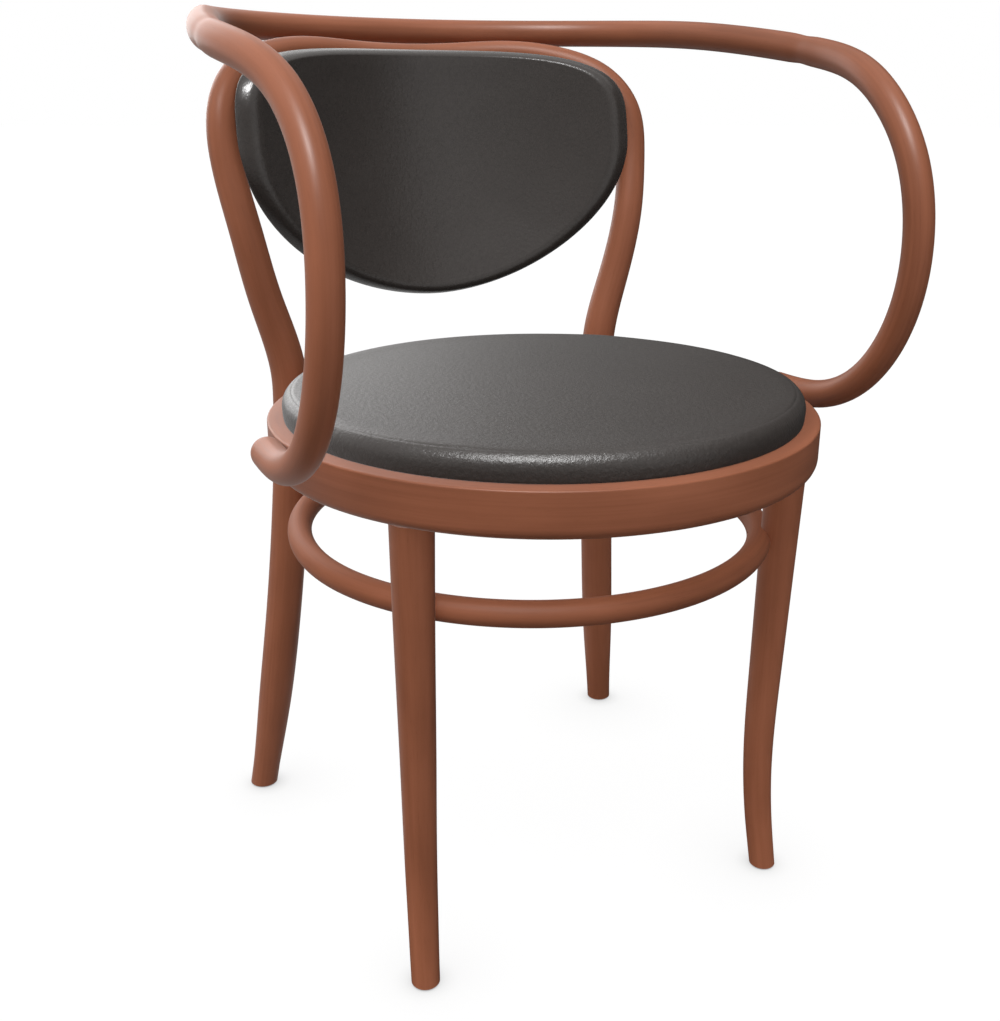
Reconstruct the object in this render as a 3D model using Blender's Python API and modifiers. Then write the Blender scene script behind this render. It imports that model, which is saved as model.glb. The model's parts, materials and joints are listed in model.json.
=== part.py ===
"""Bentwood armchair: bent rods, a round seat ring and two leather pads.

Metres, +Z up. The chair faces -Y, and left and right are as seen from its front, left at -X.
It stands on the floor at Z = 0 and is a mirror image about X = 0.
"""
import bmesh
import bpy
import numpy as np
from mathutils import Matrix, Vector

# Fit between pieces that touch
CLEARANCE = 0.0003

# Seat ring
RING_RADIUS = 0.228
RING_WIDTH = 0.046
RING_HEIGHT = 0.037
RING_TOP = 0.4336
RING_TOP_ROUND = 0.0015
RING_FOOT_ROUND = 0.009

# Front legs, round and tapered, with a kick forward at the foot
FRONT_LEG_ANGLE = 34.6
FRONT_LEG_INSET = 0.0227
FRONT_LEG_TOP_RADIUS = 0.0166
FRONT_LEG_FOOT_RADIUS = 0.0116
FRONT_FOOT_FORWARD = 0.0077
FRONT_FOOT_OUTWARD = 0.0024
FRONT_LEG_BOW = 0.0048
FRONT_LEG_COLLAR = 0.0040
TENON_RADIUS = 0.009
TENON_LENGTH = 0.026

# Back hoop, one rod from rear foot to rear foot
REAR_LEG_ANGLE = 47.9
REAR_LEG_RING_RADIUS = 0.0160
REAR_LEG_BELLY_RADIUS = 0.0170
REAR_LEG_FOOT_RADIUS = 0.0130
REAR_FOOT_SPLAY = 0.0615
HOOP_TOP_RADIUS = 0.0110
HOOP_HALF_WIDTH = 0.2040
HOOP_RISE = 0.2859
HOOP_TOP_SAG = 0.0035
HOOP_SIDE_DROP = 0.0745
HOOP_SIDE_FORWARD = 0.0066

# The curved surface that the hoop's upper part lies in
BACK_SETBACK = 0.053
BACK_PLAN_RADIUS = 0.300
BACK_UPRIGHT_DROP = 0.0095
BACK_LEAN = 1.15

# Arm bow, one rod: back rail, arms, front turns and curls to the ring
BOW_RADIUS = 0.0120
BOW_END_RADIUS = 0.0125
RAIL_RISE = 0.0185
RAIL_TOUCH_X = 0.090
ARM_HALF_SPAN = 0.2550
ARM_WIDEST_Y = -0.020
ARM_WIDEST_DROP = 0.0245
ARM_FRONT_Y = -0.1650
ARM_FRONT_RISE = 0.1344
ARM_CURL_Y = -0.0120
ARM_LOW_DROP = 0.0074
ARM_END_RISE = 0.0015
ARM_BOLT_DROP = 0.0085

# Leg ring, let into the front legs and set against the rear legs
LEG_RING_ROD = 0.0104
LEG_RING_SIDE_INSET = 0.0280
LEG_RING_FRONT_INSET = 0.0300
LEG_RING_CENTRE_Y = 0.0206
LEG_RING_DROP = 0.1104

# Foot glides
GLIDE_RADIUS = 0.0095
GLIDE_HEIGHT = 0.0040

# Seat pad
LEATHER = 0.0015
PAD_BORDER = 0.0133
PAD_BELLY = 0.0013
PAD_WIDEST_HEIGHT = 0.0108
PAD_ROLL = 0.0250
PAD_EDGE_HEIGHT = 0.0253
PAD_CROWN_HEIGHT = 0.0320
PAD_TURN_IN = 0.0087
SEAT_BOARD = 0.0085
DUST_CLOTH = 0.0008
DUST_CLOTH_INSET = 0.0160

# Back pad, a shield outline on the front of the hoop
BACK_PAD_SIDE_INSET = 0.0125
BACK_PAD_WIDEST_DROP = 0.0789
BACK_PAD_RISE = 0.0806
BACK_PAD_FALL = 0.1428
BACK_PAD_TOP_POWER = 4.1
BACK_PAD_LOW_POWER = 1.9
BACK_PANEL = 0.0012
BACK_PANEL_INSET = 0.0062
BACK_BOARD = 0.0060
BACK_BOARD_INSET = 0.0052
BACK_EDGE_TUCK = 0.0030
BACK_ROLL_DEPTH = 0.0095
BACK_ROLL_INSET = 0.0110
BACK_CROWN = 0.0065

# Screws and bolts
SCREW_RADIUS = 0.0020
SCREW_HEAD_RADIUS = 0.0040
SCREW_HEAD = 0.0026
BOLT_RADIUS = 0.0030
BOLT_HEAD_RADIUS = 0.0055
BOLT_HEAD = 0.0040
WASHER_RADIUS = 0.0080
WASHER = 0.0012
BOLT_BITE = 0.0040
SEAT_SCREW_MARGIN = 0.0040
SEAT_SCREW_ANGLES = (20.0, 160.0, 250.0, 290.0)
SEAT_SCREW_SINK = 0.0120
SEAT_SCREW_BITE = 0.0060
PAD_SCREW_TOP_X = 0.045
PAD_SCREW_REACH = 0.0260

# Rod and ring facets
ROD_SIDES = 12
RING_STEPS = 60
PAD_STEPS = 40
PAD_SHARES = (0.0, 0.32, 0.62, 0.85)

# Sizes that follow from those above
RING_BOTTOM = RING_TOP - RING_HEIGHT
RING_INNER = RING_RADIUS - RING_WIDTH
BACK_Y = RING_RADIUS + BACK_SETBACK
HOOP_SHOULDER_Z = RING_TOP + HOOP_RISE
HOOP_SIDE_Z = HOOP_SHOULDER_Z - HOOP_SIDE_DROP
BACK_UPRIGHT_Z = HOOP_SHOULDER_Z - BACK_UPRIGHT_DROP
RAIL_Z = HOOP_SHOULDER_Z + RAIL_RISE
ARM_WIDEST_Z = RAIL_Z - ARM_WIDEST_DROP
ARM_FRONT_Z = RING_TOP + ARM_FRONT_RISE
REAR_LEG_AT = RING_RADIUS + REAR_LEG_RING_RADIUS + CLEARANCE
REAR_LEG_Z = RING_BOTTOM + RING_HEIGHT / 2
ARM_END_AT = RING_RADIUS + BOW_END_RADIUS + CLEARANCE
ARM_LOW_Z = RING_TOP - ARM_LOW_DROP
ARM_BOLT_Z = RING_TOP - ARM_BOLT_DROP
LEG_RING_Z = RING_TOP - LEG_RING_DROP
LEG_RING_HALF_WIDTH = RING_RADIUS - LEG_RING_SIDE_INSET
LEG_RING_FRONT = RING_RADIUS - LEG_RING_FRONT_INSET
PAD_SEAT = RING_TOP + CLEARANCE
PAD_FOOT_RADIUS = RING_RADIUS - PAD_BORDER
PAD_WIDEST_RADIUS = PAD_FOOT_RADIUS + PAD_BELLY
PAD_EDGE_RADIUS = PAD_WIDEST_RADIUS - PAD_ROLL
PAD_OPENING = PAD_FOOT_RADIUS - PAD_TURN_IN
DUST_CLOTH_RADIUS = PAD_OPENING - DUST_CLOTH_INSET
SEAT_SCREW_RADIUS_AT = PAD_OPENING - SCREW_RADIUS - SEAT_SCREW_MARGIN
BOARD_RADIUS = PAD_FOOT_RADIUS - LEATHER - CLEARANCE
BOARD_BOTTOM = PAD_SEAT + LEATHER + CLEARANCE
BOARD_TOP = BOARD_BOTTOM + SEAT_BOARD
BACK_PAD_HALF_WIDTH = HOOP_HALF_WIDTH - BACK_PAD_SIDE_INSET
BACK_PAD_WIDEST_Z = HOOP_SHOULDER_Z - BACK_PAD_WIDEST_DROP
PANEL_REAR = HOOP_TOP_RADIUS + 4 * CLEARANCE
BOARD_REAR = PANEL_REAR + BACK_PANEL + CLEARANCE
BOARD_FRONT = BOARD_REAR + BACK_BOARD
BACK_PAD_WIDEST = BOARD_REAR + BACK_BOARD / 2
BACK_PAD_SHOULDER = BACK_PAD_WIDEST + BACK_ROLL_DEPTH
RAIL_BEHIND = np.sqrt((BOW_RADIUS + HOOP_TOP_RADIUS + CLEARANCE) ** 2 - RAIL_RISE ** 2)
RAIL_Y = BACK_Y + RAIL_BEHIND
DEPTH = RING_RADIUS + RAIL_Y + BOW_RADIUS
ORIGIN_Y = DEPTH / 2 - RING_RADIUS


def start():
    """Empty the file and return the collections for parts and cutters."""
    for old in list(bpy.data.objects):
        bpy.data.objects.remove(old)
    parts = bpy.data.collections.new("bentwood_armchair")
    cutters = bpy.data.collections.new("cutters")
    for group in (parts, cutters):
        bpy.context.scene.collection.children.link(group)
    return parts, cutters


PARTS, CUTTERS = start()


def material(name, colour, roughness, metallic=0.0):
    """A plain shader for one kind of stuff."""
    made = bpy.data.materials.new(name)
    made.use_nodes = True
    shader = made.node_tree.nodes["Principled BSDF"]
    shader.inputs["Base Color"].default_value = (*colour, 1.0)
    shader.inputs["Roughness"].default_value = roughness
    shader.inputs["Metallic"].default_value = metallic
    return made


BEECH = material("stained_beech", (0.22, 0.085, 0.042), 0.42)
LEATHER_BLACK = material("dark_leather", (0.035, 0.031, 0.029), 0.48)
PLYWOOD = material("plywood", (0.48, 0.33, 0.19), 0.65)
FOAM = material("foam", (0.80, 0.76, 0.62), 0.90)
STEEL = material("zinc_steel", (0.56, 0.57, 0.58), 0.35, 1.0)
CLOTH = material("dust_cloth", (0.03, 0.03, 0.03), 0.95)
PLASTIC = material("glide_plastic", (0.05, 0.045, 0.04), 0.55)


def placed(x, y, z):
    """A point given from the seat ring's centre, moved to the chair's own origin."""
    return Vector((x, y - ORIGIN_Y, z))


def around(radius, degrees, z):
    """A point at a distance and angle about the seat ring's centre, 0 degrees at +X."""
    turn = np.radians(degrees)
    return placed(radius * np.cos(turn), radius * np.sin(turn), z)


def back_middle(z):
    """How far behind the ring's centre the back surface lies in the middle at a height."""
    return BACK_Y - BACK_LEAN * max(0.0, BACK_UPRIGHT_Z - z) ** 2


def on_back(x, z, forward):
    """A point on the curved back surface, moved forward along its level normal."""
    share = 1.0 - forward / BACK_PLAN_RADIUS
    reach = np.sqrt(BACK_PLAN_RADIUS ** 2 - x ** 2)
    return placed(x * share, back_middle(z) - BACK_PLAN_RADIUS + reach * share, z)


def keep(name, mesh, stuff, group=PARTS):
    """Put a mesh into the scene as one named piece."""
    made = bpy.data.objects.new(name, mesh)
    group.objects.link(made)
    if group is CUTTERS:
        made.hide_render = True
        made.display_type = "WIRE"
    else:
        mesh.materials.append(stuff)
    return made


def spline(points, radii, count):
    """A natural cubic through the points by chord length, sampled evenly, with its radii."""
    rows = np.array([[*p, r] for p, r in zip(points, radii)], float)
    steps = np.linalg.norm(np.diff(rows[:, :3], axis=0), axis=1)
    knots = np.concatenate([[0.0], np.cumsum(steps)])
    size = len(knots)
    matrix = np.eye(size)
    right = np.zeros_like(rows)
    for i in range(1, size - 1):
        before, after = steps[i - 1], steps[i]
        matrix[i, i - 1:i + 2] = before, 2 * (before + after), after
        right[i] = 6 * ((rows[i + 1] - rows[i]) / after - (rows[i] - rows[i - 1]) / before)
    bend = np.linalg.solve(matrix, right)
    at = np.linspace(0.0, knots[-1], count)
    k = np.clip(np.searchsorted(knots, at, side="right") - 1, 0, size - 2)
    h = steps[k][:, None]
    a = (knots[k + 1] - at)[:, None] / h
    b = 1.0 - a
    cubic = ((a ** 3 - a) * bend[k] + (b ** 3 - b) * bend[k + 1]) * h ** 2 / 6
    return a * rows[k] + b * rows[k + 1] + cubic


def rod(name, rows, stuff, group=PARTS, closed=False, extra=0.0):
    """A round rod along rows of x, y, z and radius, as one closed mesh."""
    curve = bpy.data.curves.new(name, "CURVE")
    curve.dimensions = "3D"
    curve.bevel_depth = 1.0
    curve.bevel_resolution = (ROD_SIDES - 4) // 2
    curve.use_fill_caps = not closed
    line = curve.splines.new("POLY")
    line.points.add(len(rows) - 1)
    for point, row in zip(line.points, rows):
        point.co = (*row[:3], 1.0)
        point.radius = row[3] + extra
    line.use_cyclic_u = closed
    draft = bpy.data.objects.new(name + "_line", curve)
    bpy.context.scene.collection.objects.link(draft)
    graph = bpy.context.evaluated_depsgraph_get()
    mesh = bpy.data.meshes.new_from_object(draft.evaluated_get(graph))
    bpy.data.objects.remove(draft)
    work = bmesh.new()
    work.from_mesh(mesh)
    bmesh.ops.remove_doubles(work, verts=work.verts, dist=0.00002)
    bmesh.ops.recalc_face_normals(work, faces=work.faces)
    work.to_mesh(mesh)
    work.free()
    mesh.name = name
    mesh.materials.clear()
    return keep(name, mesh, stuff, group)


def turned(name, profile, stuff, steps, group=PARTS, closed=False):
    """A body turned about +Z from a profile of radius and height, outer side top to bottom."""
    mesh = bpy.data.meshes.new(name)
    corners = [(r, 0.0, z) for r, z in profile]
    edges = [(i, i + 1) for i in range(len(corners) - 1)]
    if closed:
        edges.append((len(corners) - 1, 0))
    mesh.from_pydata(corners, edges, [])
    made = keep(name, mesh, stuff, group)
    screw = made.modifiers.new("turn", "SCREW")
    screw.steps = steps
    screw.render_steps = steps
    screw.use_merge_vertices = True
    screw.merge_threshold = 0.00005
    return made


def aim(made, start_at, toward):
    """Stand a turned body at a point with its +Z along a direction."""
    way = (toward - start_at).normalized()
    made.matrix_world = Matrix.Translation(start_at) @ way.to_track_quat("Z", "Y").to_matrix().to_4x4()
    return made


def peg(name, a, b, radius, steps=12):
    """A round cutter from one point to another."""
    length = (b - a).length
    profile = [(0.0, length), (radius, length), (radius, 0.0), (0.0, 0.0)]
    return aim(turned(name, profile, None, steps, CUTTERS), a, b)


def cut(made, *cutters):
    """Take cutters away from a piece."""
    for cutter in cutters:
        tool = made.modifiers.new("less_" + cutter.name, "BOOLEAN")
        tool.operation = "DIFFERENCE"
        tool.solver = "EXACT"
        tool.object = cutter


def screw(name, head, tip, radius=SCREW_RADIUS, head_radius=SCREW_HEAD_RADIUS, head_height=SCREW_HEAD,
          sides=8):
    """A screw whose head's underside stands at one point and whose end is at another."""
    length = (tip - head).length
    profile = [(0.0, length), (radius * 0.6, length), (radius, length - radius), (radius, 0.0),
               (head_radius, 0.0), (head_radius, -head_height), (0.0, -head_height)]
    return aim(turned(name, profile, STEEL, sides), head, tip)


def screw_way(name, head, tip, sink):
    """The clear hole for a screw, with a wider pocket where its head goes in."""
    end = (tip - head).length + CLEARANCE
    hole = SCREW_RADIUS + CLEARANCE
    pocket = SCREW_HEAD_RADIUS + CLEARANCE
    profile = [(0.0, end), (hole, end), (hole, CLEARANCE), (pocket, CLEARANCE), (pocket, -sink), (0.0, -sink)]
    return aim(turned(name + "_way", profile, None, 10, CUTTERS), head, tip)


def mirrored(points):
    """The same points on the other side of X = 0."""
    return [Vector((-p.x, p.y, p.z)) for p in points]


# Seat ring
ring_profile = [
    (RING_INNER, RING_TOP), (RING_RADIUS - RING_TOP_ROUND, RING_TOP),
    (RING_RADIUS, RING_TOP - RING_TOP_ROUND),
    (RING_RADIUS, RING_BOTTOM + RING_FOOT_ROUND),
    (RING_RADIUS - 0.08 * RING_FOOT_ROUND, RING_BOTTOM + 0.62 * RING_FOOT_ROUND),
    (RING_RADIUS - 0.29 * RING_FOOT_ROUND, RING_BOTTOM + 0.29 * RING_FOOT_ROUND),
    (RING_RADIUS - 0.62 * RING_FOOT_ROUND, RING_BOTTOM + 0.08 * RING_FOOT_ROUND),
    (RING_RADIUS - RING_FOOT_ROUND, RING_BOTTOM), (RING_INNER, RING_BOTTOM)]
seat_ring = turned("seat_ring", ring_profile, BEECH, RING_STEPS, closed=True)
seat_ring.location = placed(0, 0, 0)


# Leg ring: two half ovals that share their width
def rear_leg_at(z):
    """Distance of the rear leg's middle from the ring's centre at a height, and its radius."""
    drop = max(0.0, REAR_LEG_Z - z) / REAR_LEG_Z
    out = REAR_LEG_AT + REAR_FOOT_SPLAY * (0.18 * drop + 0.82 * drop ** 1.6)
    swell = np.interp(drop, (0.0, 0.36, 0.60, 1.0), (0.0, 1.0, 0.7, -1.0))
    if swell > 0:
        radius = REAR_LEG_RING_RADIUS + swell * (REAR_LEG_BELLY_RADIUS - REAR_LEG_RING_RADIUS)
    else:
        radius = REAR_LEG_RING_RADIUS + swell * (REAR_LEG_RING_RADIUS - REAR_LEG_FOOT_RADIUS)
    return out, radius


rear_out, rear_radius = rear_leg_at(LEG_RING_Z)
rear_turn = np.radians(REAR_LEG_ANGLE)
rear_x = rear_out * np.cos(rear_turn)
rear_y = rear_out * np.sin(rear_turn) - LEG_RING_CENTRE_Y
rear_away = np.hypot(rear_x, rear_y)
rear_touch = rear_away - rear_radius - LEG_RING_ROD
side_part = (rear_x / rear_away / LEG_RING_HALF_WIDTH) ** 2
LEG_RING_REAR = (rear_y / rear_away) / np.sqrt(1 / rear_touch ** 2 - side_part)


def leg_ring_point(turn):
    """A point on the leg ring's middle line at an angle in radians."""
    deep = LEG_RING_REAR if np.sin(turn) > 0 else LEG_RING_FRONT
    return placed(LEG_RING_HALF_WIDTH * np.cos(turn), LEG_RING_CENTRE_Y + deep * np.sin(turn), LEG_RING_Z)


leg_ring_rows = [(*leg_ring_point(t), LEG_RING_ROD) for t in np.linspace(0, 2 * np.pi, 49)[:-1]]
leg_ring = rod("leg_ring", leg_ring_rows, BEECH, closed=True)
leg_ring_bed = rod("leg_ring_bed", leg_ring_rows, None, CUTTERS, True, CLEARANCE)

# The floor cut that makes the feet flat, above the glides
FOOT_Z = GLIDE_HEIGHT + CLEARANCE
floor_mesh = bpy.data.meshes.new("floor_cut")
floor_work = bmesh.new()
bmesh.ops.create_cube(floor_work, size=1.0)
bmesh.ops.scale(floor_work, vec=(1.0, 1.0, 0.08), verts=floor_work.verts)
bmesh.ops.translate(floor_work, vec=(0, 0, FOOT_Z - 0.04), verts=floor_work.verts)
floor_work.to_mesh(floor_mesh)
floor_work.free()
floor_cut = keep("floor_cut", floor_mesh, None, CUTTERS)


def glide(name, x, y):
    """A round glide under a foot."""
    edge = 0.25 * GLIDE_HEIGHT
    profile = [(0.0, GLIDE_HEIGHT), (GLIDE_RADIUS, GLIDE_HEIGHT), (GLIDE_RADIUS, edge),
               (GLIDE_RADIUS - edge, 0.0), (0.0, 0.0)]
    made = turned(name, profile, PLASTIC, 16)
    made.location = (x, y, 0.0)


# Front legs
FRONT_LEG_TOP = RING_BOTTOM - CLEARANCE
leg_top = around(RING_RADIUS - FRONT_LEG_INSET, -FRONT_LEG_ANGLE, FRONT_LEG_TOP)


def front_leg_line(side):
    """Middle line and radius of a front leg from under the floor cut up to the ring."""
    shape = [(-0.04, 1.35, 1.25, 0.0), (0.0, 1.0, 1.0, 0.0), (0.12, 0.42, 0.0, 0.65), (0.25, 0.0, -0.62, 1.0),
             (0.50, 0.0, -0.65, 0.98), (0.76, 0.0, -0.25, 0.52), (1.0, 0.0, 0.0, 0.0)]
    points = []
    radii = []
    for up, forward, outward, bow in shape:
        x = leg_top.x + FRONT_FOOT_OUTWARD * outward
        y = leg_top.y - FRONT_FOOT_FORWARD * forward + FRONT_LEG_BOW * bow
        points.append((side * x, y, (FRONT_LEG_TOP - FRONT_LEG_COLLAR) * up))
        radii.append(FRONT_LEG_FOOT_RADIUS + (FRONT_LEG_TOP_RADIUS - FRONT_LEG_FOOT_RADIUS) * up)
    rows = spline(points, radii, 18)
    return np.vstack([rows, rows[-1] + (0.0, 0.0, FRONT_LEG_COLLAR, 0.0)])


for side, word in ((-1, "left"), (1, "right")):
    leg_end = Vector((side * leg_top.x, leg_top.y, FRONT_LEG_TOP))
    leg = rod("front_leg_" + word, front_leg_line(side), BEECH)
    tenon = peg("tenon_" + word, leg_end - Vector((0, 0, TENON_RADIUS)),
                leg_end + Vector((0, 0, TENON_LENGTH)), TENON_RADIUS, 16)
    join = leg.modifiers.new("tenon", "BOOLEAN")
    join.operation = "UNION"
    join.solver = "EXACT"
    join.object = tenon
    cut(leg, leg_ring_bed, floor_cut)
    socket = peg("socket_" + word, leg_end - Vector((0, 0, 0.02)),
                 leg_end + Vector((0, 0, TENON_LENGTH + CLEARANCE)), TENON_RADIUS + CLEARANCE, 16)
    cut(seat_ring, socket)
    glide("front_glide_" + word, side * (leg_top.x + FRONT_FOOT_OUTWARD), leg_top.y - FRONT_FOOT_FORWARD)


# Back hoop
def hoop_half():
    """Points and radii on the +X side, from the top middle down to the foot."""
    wide = HOOP_HALF_WIDTH
    rise = HOOP_SHOULDER_Z - HOOP_SIDE_Z
    fall = HOOP_SIDE_Z - RING_TOP
    top = HOOP_SHOULDER_Z
    upper = [(0.0, top - HOOP_TOP_SAG, 0.0, 0.0), (0.27, top - 0.5 * HOOP_TOP_SAG, 0.0, 0.02),
             (0.52, top, 0.0, 0.05), (0.74, top - 0.09 * rise, 0.0, 0.12),
             (0.91, top - 0.33 * rise, 0.0, 0.22),
             (0.99, top - 0.72 * rise, 0.12, 0.36), (0.995, HOOP_SIDE_Z - 0.10 * fall, 0.40, 0.50),
             (0.955, HOOP_SIDE_Z - 0.34 * fall, 1.0, 0.62)]
    points = [on_back(x * wide, z, 0.0) - Vector((0, fore * HOOP_SIDE_FORWARD, 0)) for x, z, fore, _ in upper]
    radii = [HOOP_TOP_RADIUS + swell * (REAR_LEG_RING_RADIUS - HOOP_TOP_RADIUS) for _, _, _, swell in upper]
    leg_y = around(REAR_LEG_AT, REAR_LEG_ANGLE, 0.0).y
    points.append(Vector((0.885 * wide, leg_y, HOOP_SIDE_Z - 0.64 * fall)))
    radii.append(HOOP_TOP_RADIUS + 0.78 * (REAR_LEG_RING_RADIUS - HOOP_TOP_RADIUS))
    for z in (RING_TOP + 0.006, REAR_LEG_Z, RING_BOTTOM - 0.03, LEG_RING_Z, 0.6 * LEG_RING_Z,
              0.3 * LEG_RING_Z, 0.0, -0.015):
        out, radius = rear_leg_at(max(z, 0.0))
        out += REAR_FOOT_SPLAY * 1.5 * max(0.0, -z) / REAR_LEG_Z
        points.append(around(out, REAR_LEG_ANGLE, z))
        radii.append(radius)
    return points, radii


half_points, half_radii = hoop_half()
hoop_points = mirrored(half_points[:0:-1]) + half_points
hoop_radii = half_radii[:0:-1] + half_radii
back_hoop = rod("back_hoop", spline(hoop_points, hoop_radii, 75), BEECH)
cut(back_hoop, leg_ring_bed, floor_cut)
for side, word in ((-1, "left"), (1, "right")):
    spot = around(REAR_LEG_AT + REAR_FOOT_SPLAY, REAR_LEG_ANGLE, 0.0)
    glide("rear_glide_" + word, side * spot.x, spot.y)


# Arm bow
def rail_point(x):
    """A point on the level back rail, behind and above the hoop's top."""
    return placed(x, RAIL_Y - BACK_PLAN_RADIUS + np.sqrt(BACK_PLAN_RADIUS ** 2 - x ** 2), RAIL_Z)


def bow_half():
    """Points and radii on the +X side, from the rail's middle to the arm's end at the ring."""
    span = ARM_HALF_SPAN
    deep = RAIL_Y - ARM_WIDEST_Y
    low = RAIL_Z - ARM_WIDEST_Z
    end_turn = np.degrees(np.arcsin(ARM_CURL_Y / ARM_END_AT))
    end = around(ARM_END_AT, end_turn, ARM_LOW_Z + ARM_END_RISE)
    tall = ARM_FRONT_Z - ARM_LOW_Z
    far = ARM_CURL_Y - ARM_FRONT_Y
    points = [rail_point(0.0), rail_point(0.31 * span), rail_point(0.59 * span),
              placed(0.796 * span, ARM_WIDEST_Y + 0.695 * deep, RAIL_Z - 0.05 * low),
              placed(0.898 * span, ARM_WIDEST_Y + 0.458 * deep, RAIL_Z - 0.22 * low),
              placed(0.9725 * span, ARM_WIDEST_Y + 0.216 * deep, RAIL_Z - 0.58 * low),
              placed(span, ARM_WIDEST_Y, ARM_WIDEST_Z)]
    drop = ARM_WIDEST_Z - ARM_FRONT_Z
    lean = span - end.x
    fore = ARM_WIDEST_Y - ARM_FRONT_Y
    points += [placed(end.x + 0.14 * lean, ARM_WIDEST_Y - 0.541 * fore, ARM_WIDEST_Z - 0.163 * drop),
               placed(end.x - 0.19 * lean, ARM_WIDEST_Y - 0.897 * fore, ARM_WIDEST_Z - 0.526 * drop),
               placed(end.x - 0.07 * lean, ARM_FRONT_Y, ARM_FRONT_Z),
               placed(end.x + 0.07 * lean, ARM_FRONT_Y + 0.106 * far, ARM_LOW_Z + 0.513 * tall),
               placed(end.x + 0.14 * lean, ARM_FRONT_Y + 0.351 * far, ARM_LOW_Z + 0.182 * tall),
               placed(end.x + 0.17 * lean, ARM_FRONT_Y + 0.642 * far, ARM_LOW_Z + 0.035 * tall), end]
    radii = [BOW_RADIUS] * (len(points) - 2) + [(BOW_RADIUS + BOW_END_RADIUS) / 2, BOW_END_RADIUS]
    return points, radii


half_points, half_radii = bow_half()
bow_points = mirrored(half_points[:0:-1]) + half_points
bow_rows = spline(bow_points, half_radii[:0:-1] + half_radii, 83)


def round_end(rows):
    """More rows that close the last end of a rod as a dome."""
    way = rows[-1, :3] - rows[-2, :3]
    way = way / np.linalg.norm(way)
    radius = rows[-1, 3]
    turns = np.radians((28, 52, 72))
    dome = [(*(rows[-1, :3] + way * radius * np.sin(a)), radius * np.cos(a)) for a in turns]
    return np.vstack([rows, dome])


bow_rows = round_end(round_end(bow_rows)[::-1])[::-1]
arm_bow = rod("arm_bow", bow_rows, BEECH)

# Ring saddles in the rods that stand against the ring
ring_bed = turned("ring_bed", [(0.0, RING_TOP + 0.03), (RING_RADIUS + CLEARANCE, RING_TOP + 0.03),
                               (RING_RADIUS + CLEARANCE, RING_BOTTOM - 0.03), (0.0, RING_BOTTOM - 0.03)],
                  None, 2 * RING_STEPS, CUTTERS)
ring_bed.location = placed(0, 0, 0)
cut(back_hoop, ring_bed)
cut(arm_bow, ring_bed)


# Bolts through the ring wall, with washers inside the ring
def ring_bolt(name, at, degrees, z, other):
    """A bolt from inside the ring out into a rod, with its washer and holes."""
    inside = RING_INNER - WASHER_RADIUS ** 2 / RING_INNER - CLEARANCE
    washer_at = around(inside - WASHER, degrees, z)
    head = around(inside - WASHER - CLEARANCE, degrees, z)
    tip = around(at + BOLT_BITE, degrees, z)
    screw(name, head, tip, BOLT_RADIUS, BOLT_HEAD_RADIUS, BOLT_HEAD, 10)
    hole = BOLT_RADIUS + CLEARANCE
    profile = [(hole, WASHER), (WASHER_RADIUS, WASHER), (WASHER_RADIUS, 0.0), (hole, 0.0)]
    aim(turned(name.replace("bolt", "washer"), profile, STEEL, 12, closed=True), washer_at, tip)
    way = peg(name + "_way", head, tip + (tip - head).normalized() * CLEARANCE, hole)
    cut(seat_ring, way)
    cut(other, way)


arm_turn = -np.degrees(np.arcsin(ARM_CURL_Y / ARM_END_AT))
ring_bolt("leg_bolt_left", REAR_LEG_AT, 180 - REAR_LEG_ANGLE, REAR_LEG_Z, back_hoop)
ring_bolt("leg_bolt_right", REAR_LEG_AT, REAR_LEG_ANGLE, REAR_LEG_Z, back_hoop)
ring_bolt("arm_bolt_left", ARM_END_AT, 180 + arm_turn, ARM_BOLT_Z, arm_bow)
ring_bolt("arm_bolt_right", ARM_END_AT, -arm_turn, ARM_BOLT_Z, arm_bow)

# Seat pad: board, foam, leather and dust cloth
def seat_skin(inset):
    """The pad's outer curve from the crown's middle out and down to its widest, moved in."""
    crown = [(r * (PAD_EDGE_RADIUS - inset), PAD_SEAT + PAD_EDGE_HEIGHT - inset
              + (PAD_CROWN_HEIGHT - PAD_EDGE_HEIGHT) * (1 - r ** 2)) for r in (0.0, 0.4, 0.75)]
    roll = []
    rise = PAD_EDGE_HEIGHT - inset - PAD_WIDEST_HEIGHT
    for a in np.radians((90, 60, 30, 0)):
        roll.append((PAD_EDGE_RADIUS - inset + PAD_ROLL * np.cos(a),
                     PAD_SEAT + PAD_WIDEST_HEIGHT + rise * np.sin(a)))
    return crown + roll


outer = seat_skin(0.0) + [(PAD_FOOT_RADIUS, PAD_SEAT), (PAD_OPENING, PAD_SEAT)]
inner = seat_skin(LEATHER) + [(PAD_FOOT_RADIUS - LEATHER, PAD_SEAT + LEATHER),
                              (PAD_OPENING, PAD_SEAT + LEATHER)]
seat_cover = turned("seat_cover", outer + inner[::-1], LEATHER_BLACK, PAD_STEPS)
foam_skin = seat_skin(LEATHER + CLEARANCE) + [(PAD_FOOT_RADIUS - LEATHER - CLEARANCE, PAD_SEAT + LEATHER)]
foam_foot = BOARD_TOP + CLEARANCE
foam_edge = np.interp(foam_foot, [p[1] for p in foam_skin[::-1]], [p[0] for p in foam_skin[::-1]])
foam_profile = [p for p in foam_skin if p[1] > foam_foot] + [(foam_edge, foam_foot), (0.0, foam_foot)]
seat_foam = turned("seat_foam", foam_profile, FOAM, PAD_STEPS)
seat_board = turned("seat_board", [(0.0, BOARD_TOP), (BOARD_RADIUS, BOARD_TOP), (BOARD_RADIUS, BOARD_BOTTOM),
                                   (0.0, BOARD_BOTTOM)], PLYWOOD, PAD_STEPS)
cloth_top = BOARD_BOTTOM - CLEARANCE
cloth_low = cloth_top - DUST_CLOTH
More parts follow.
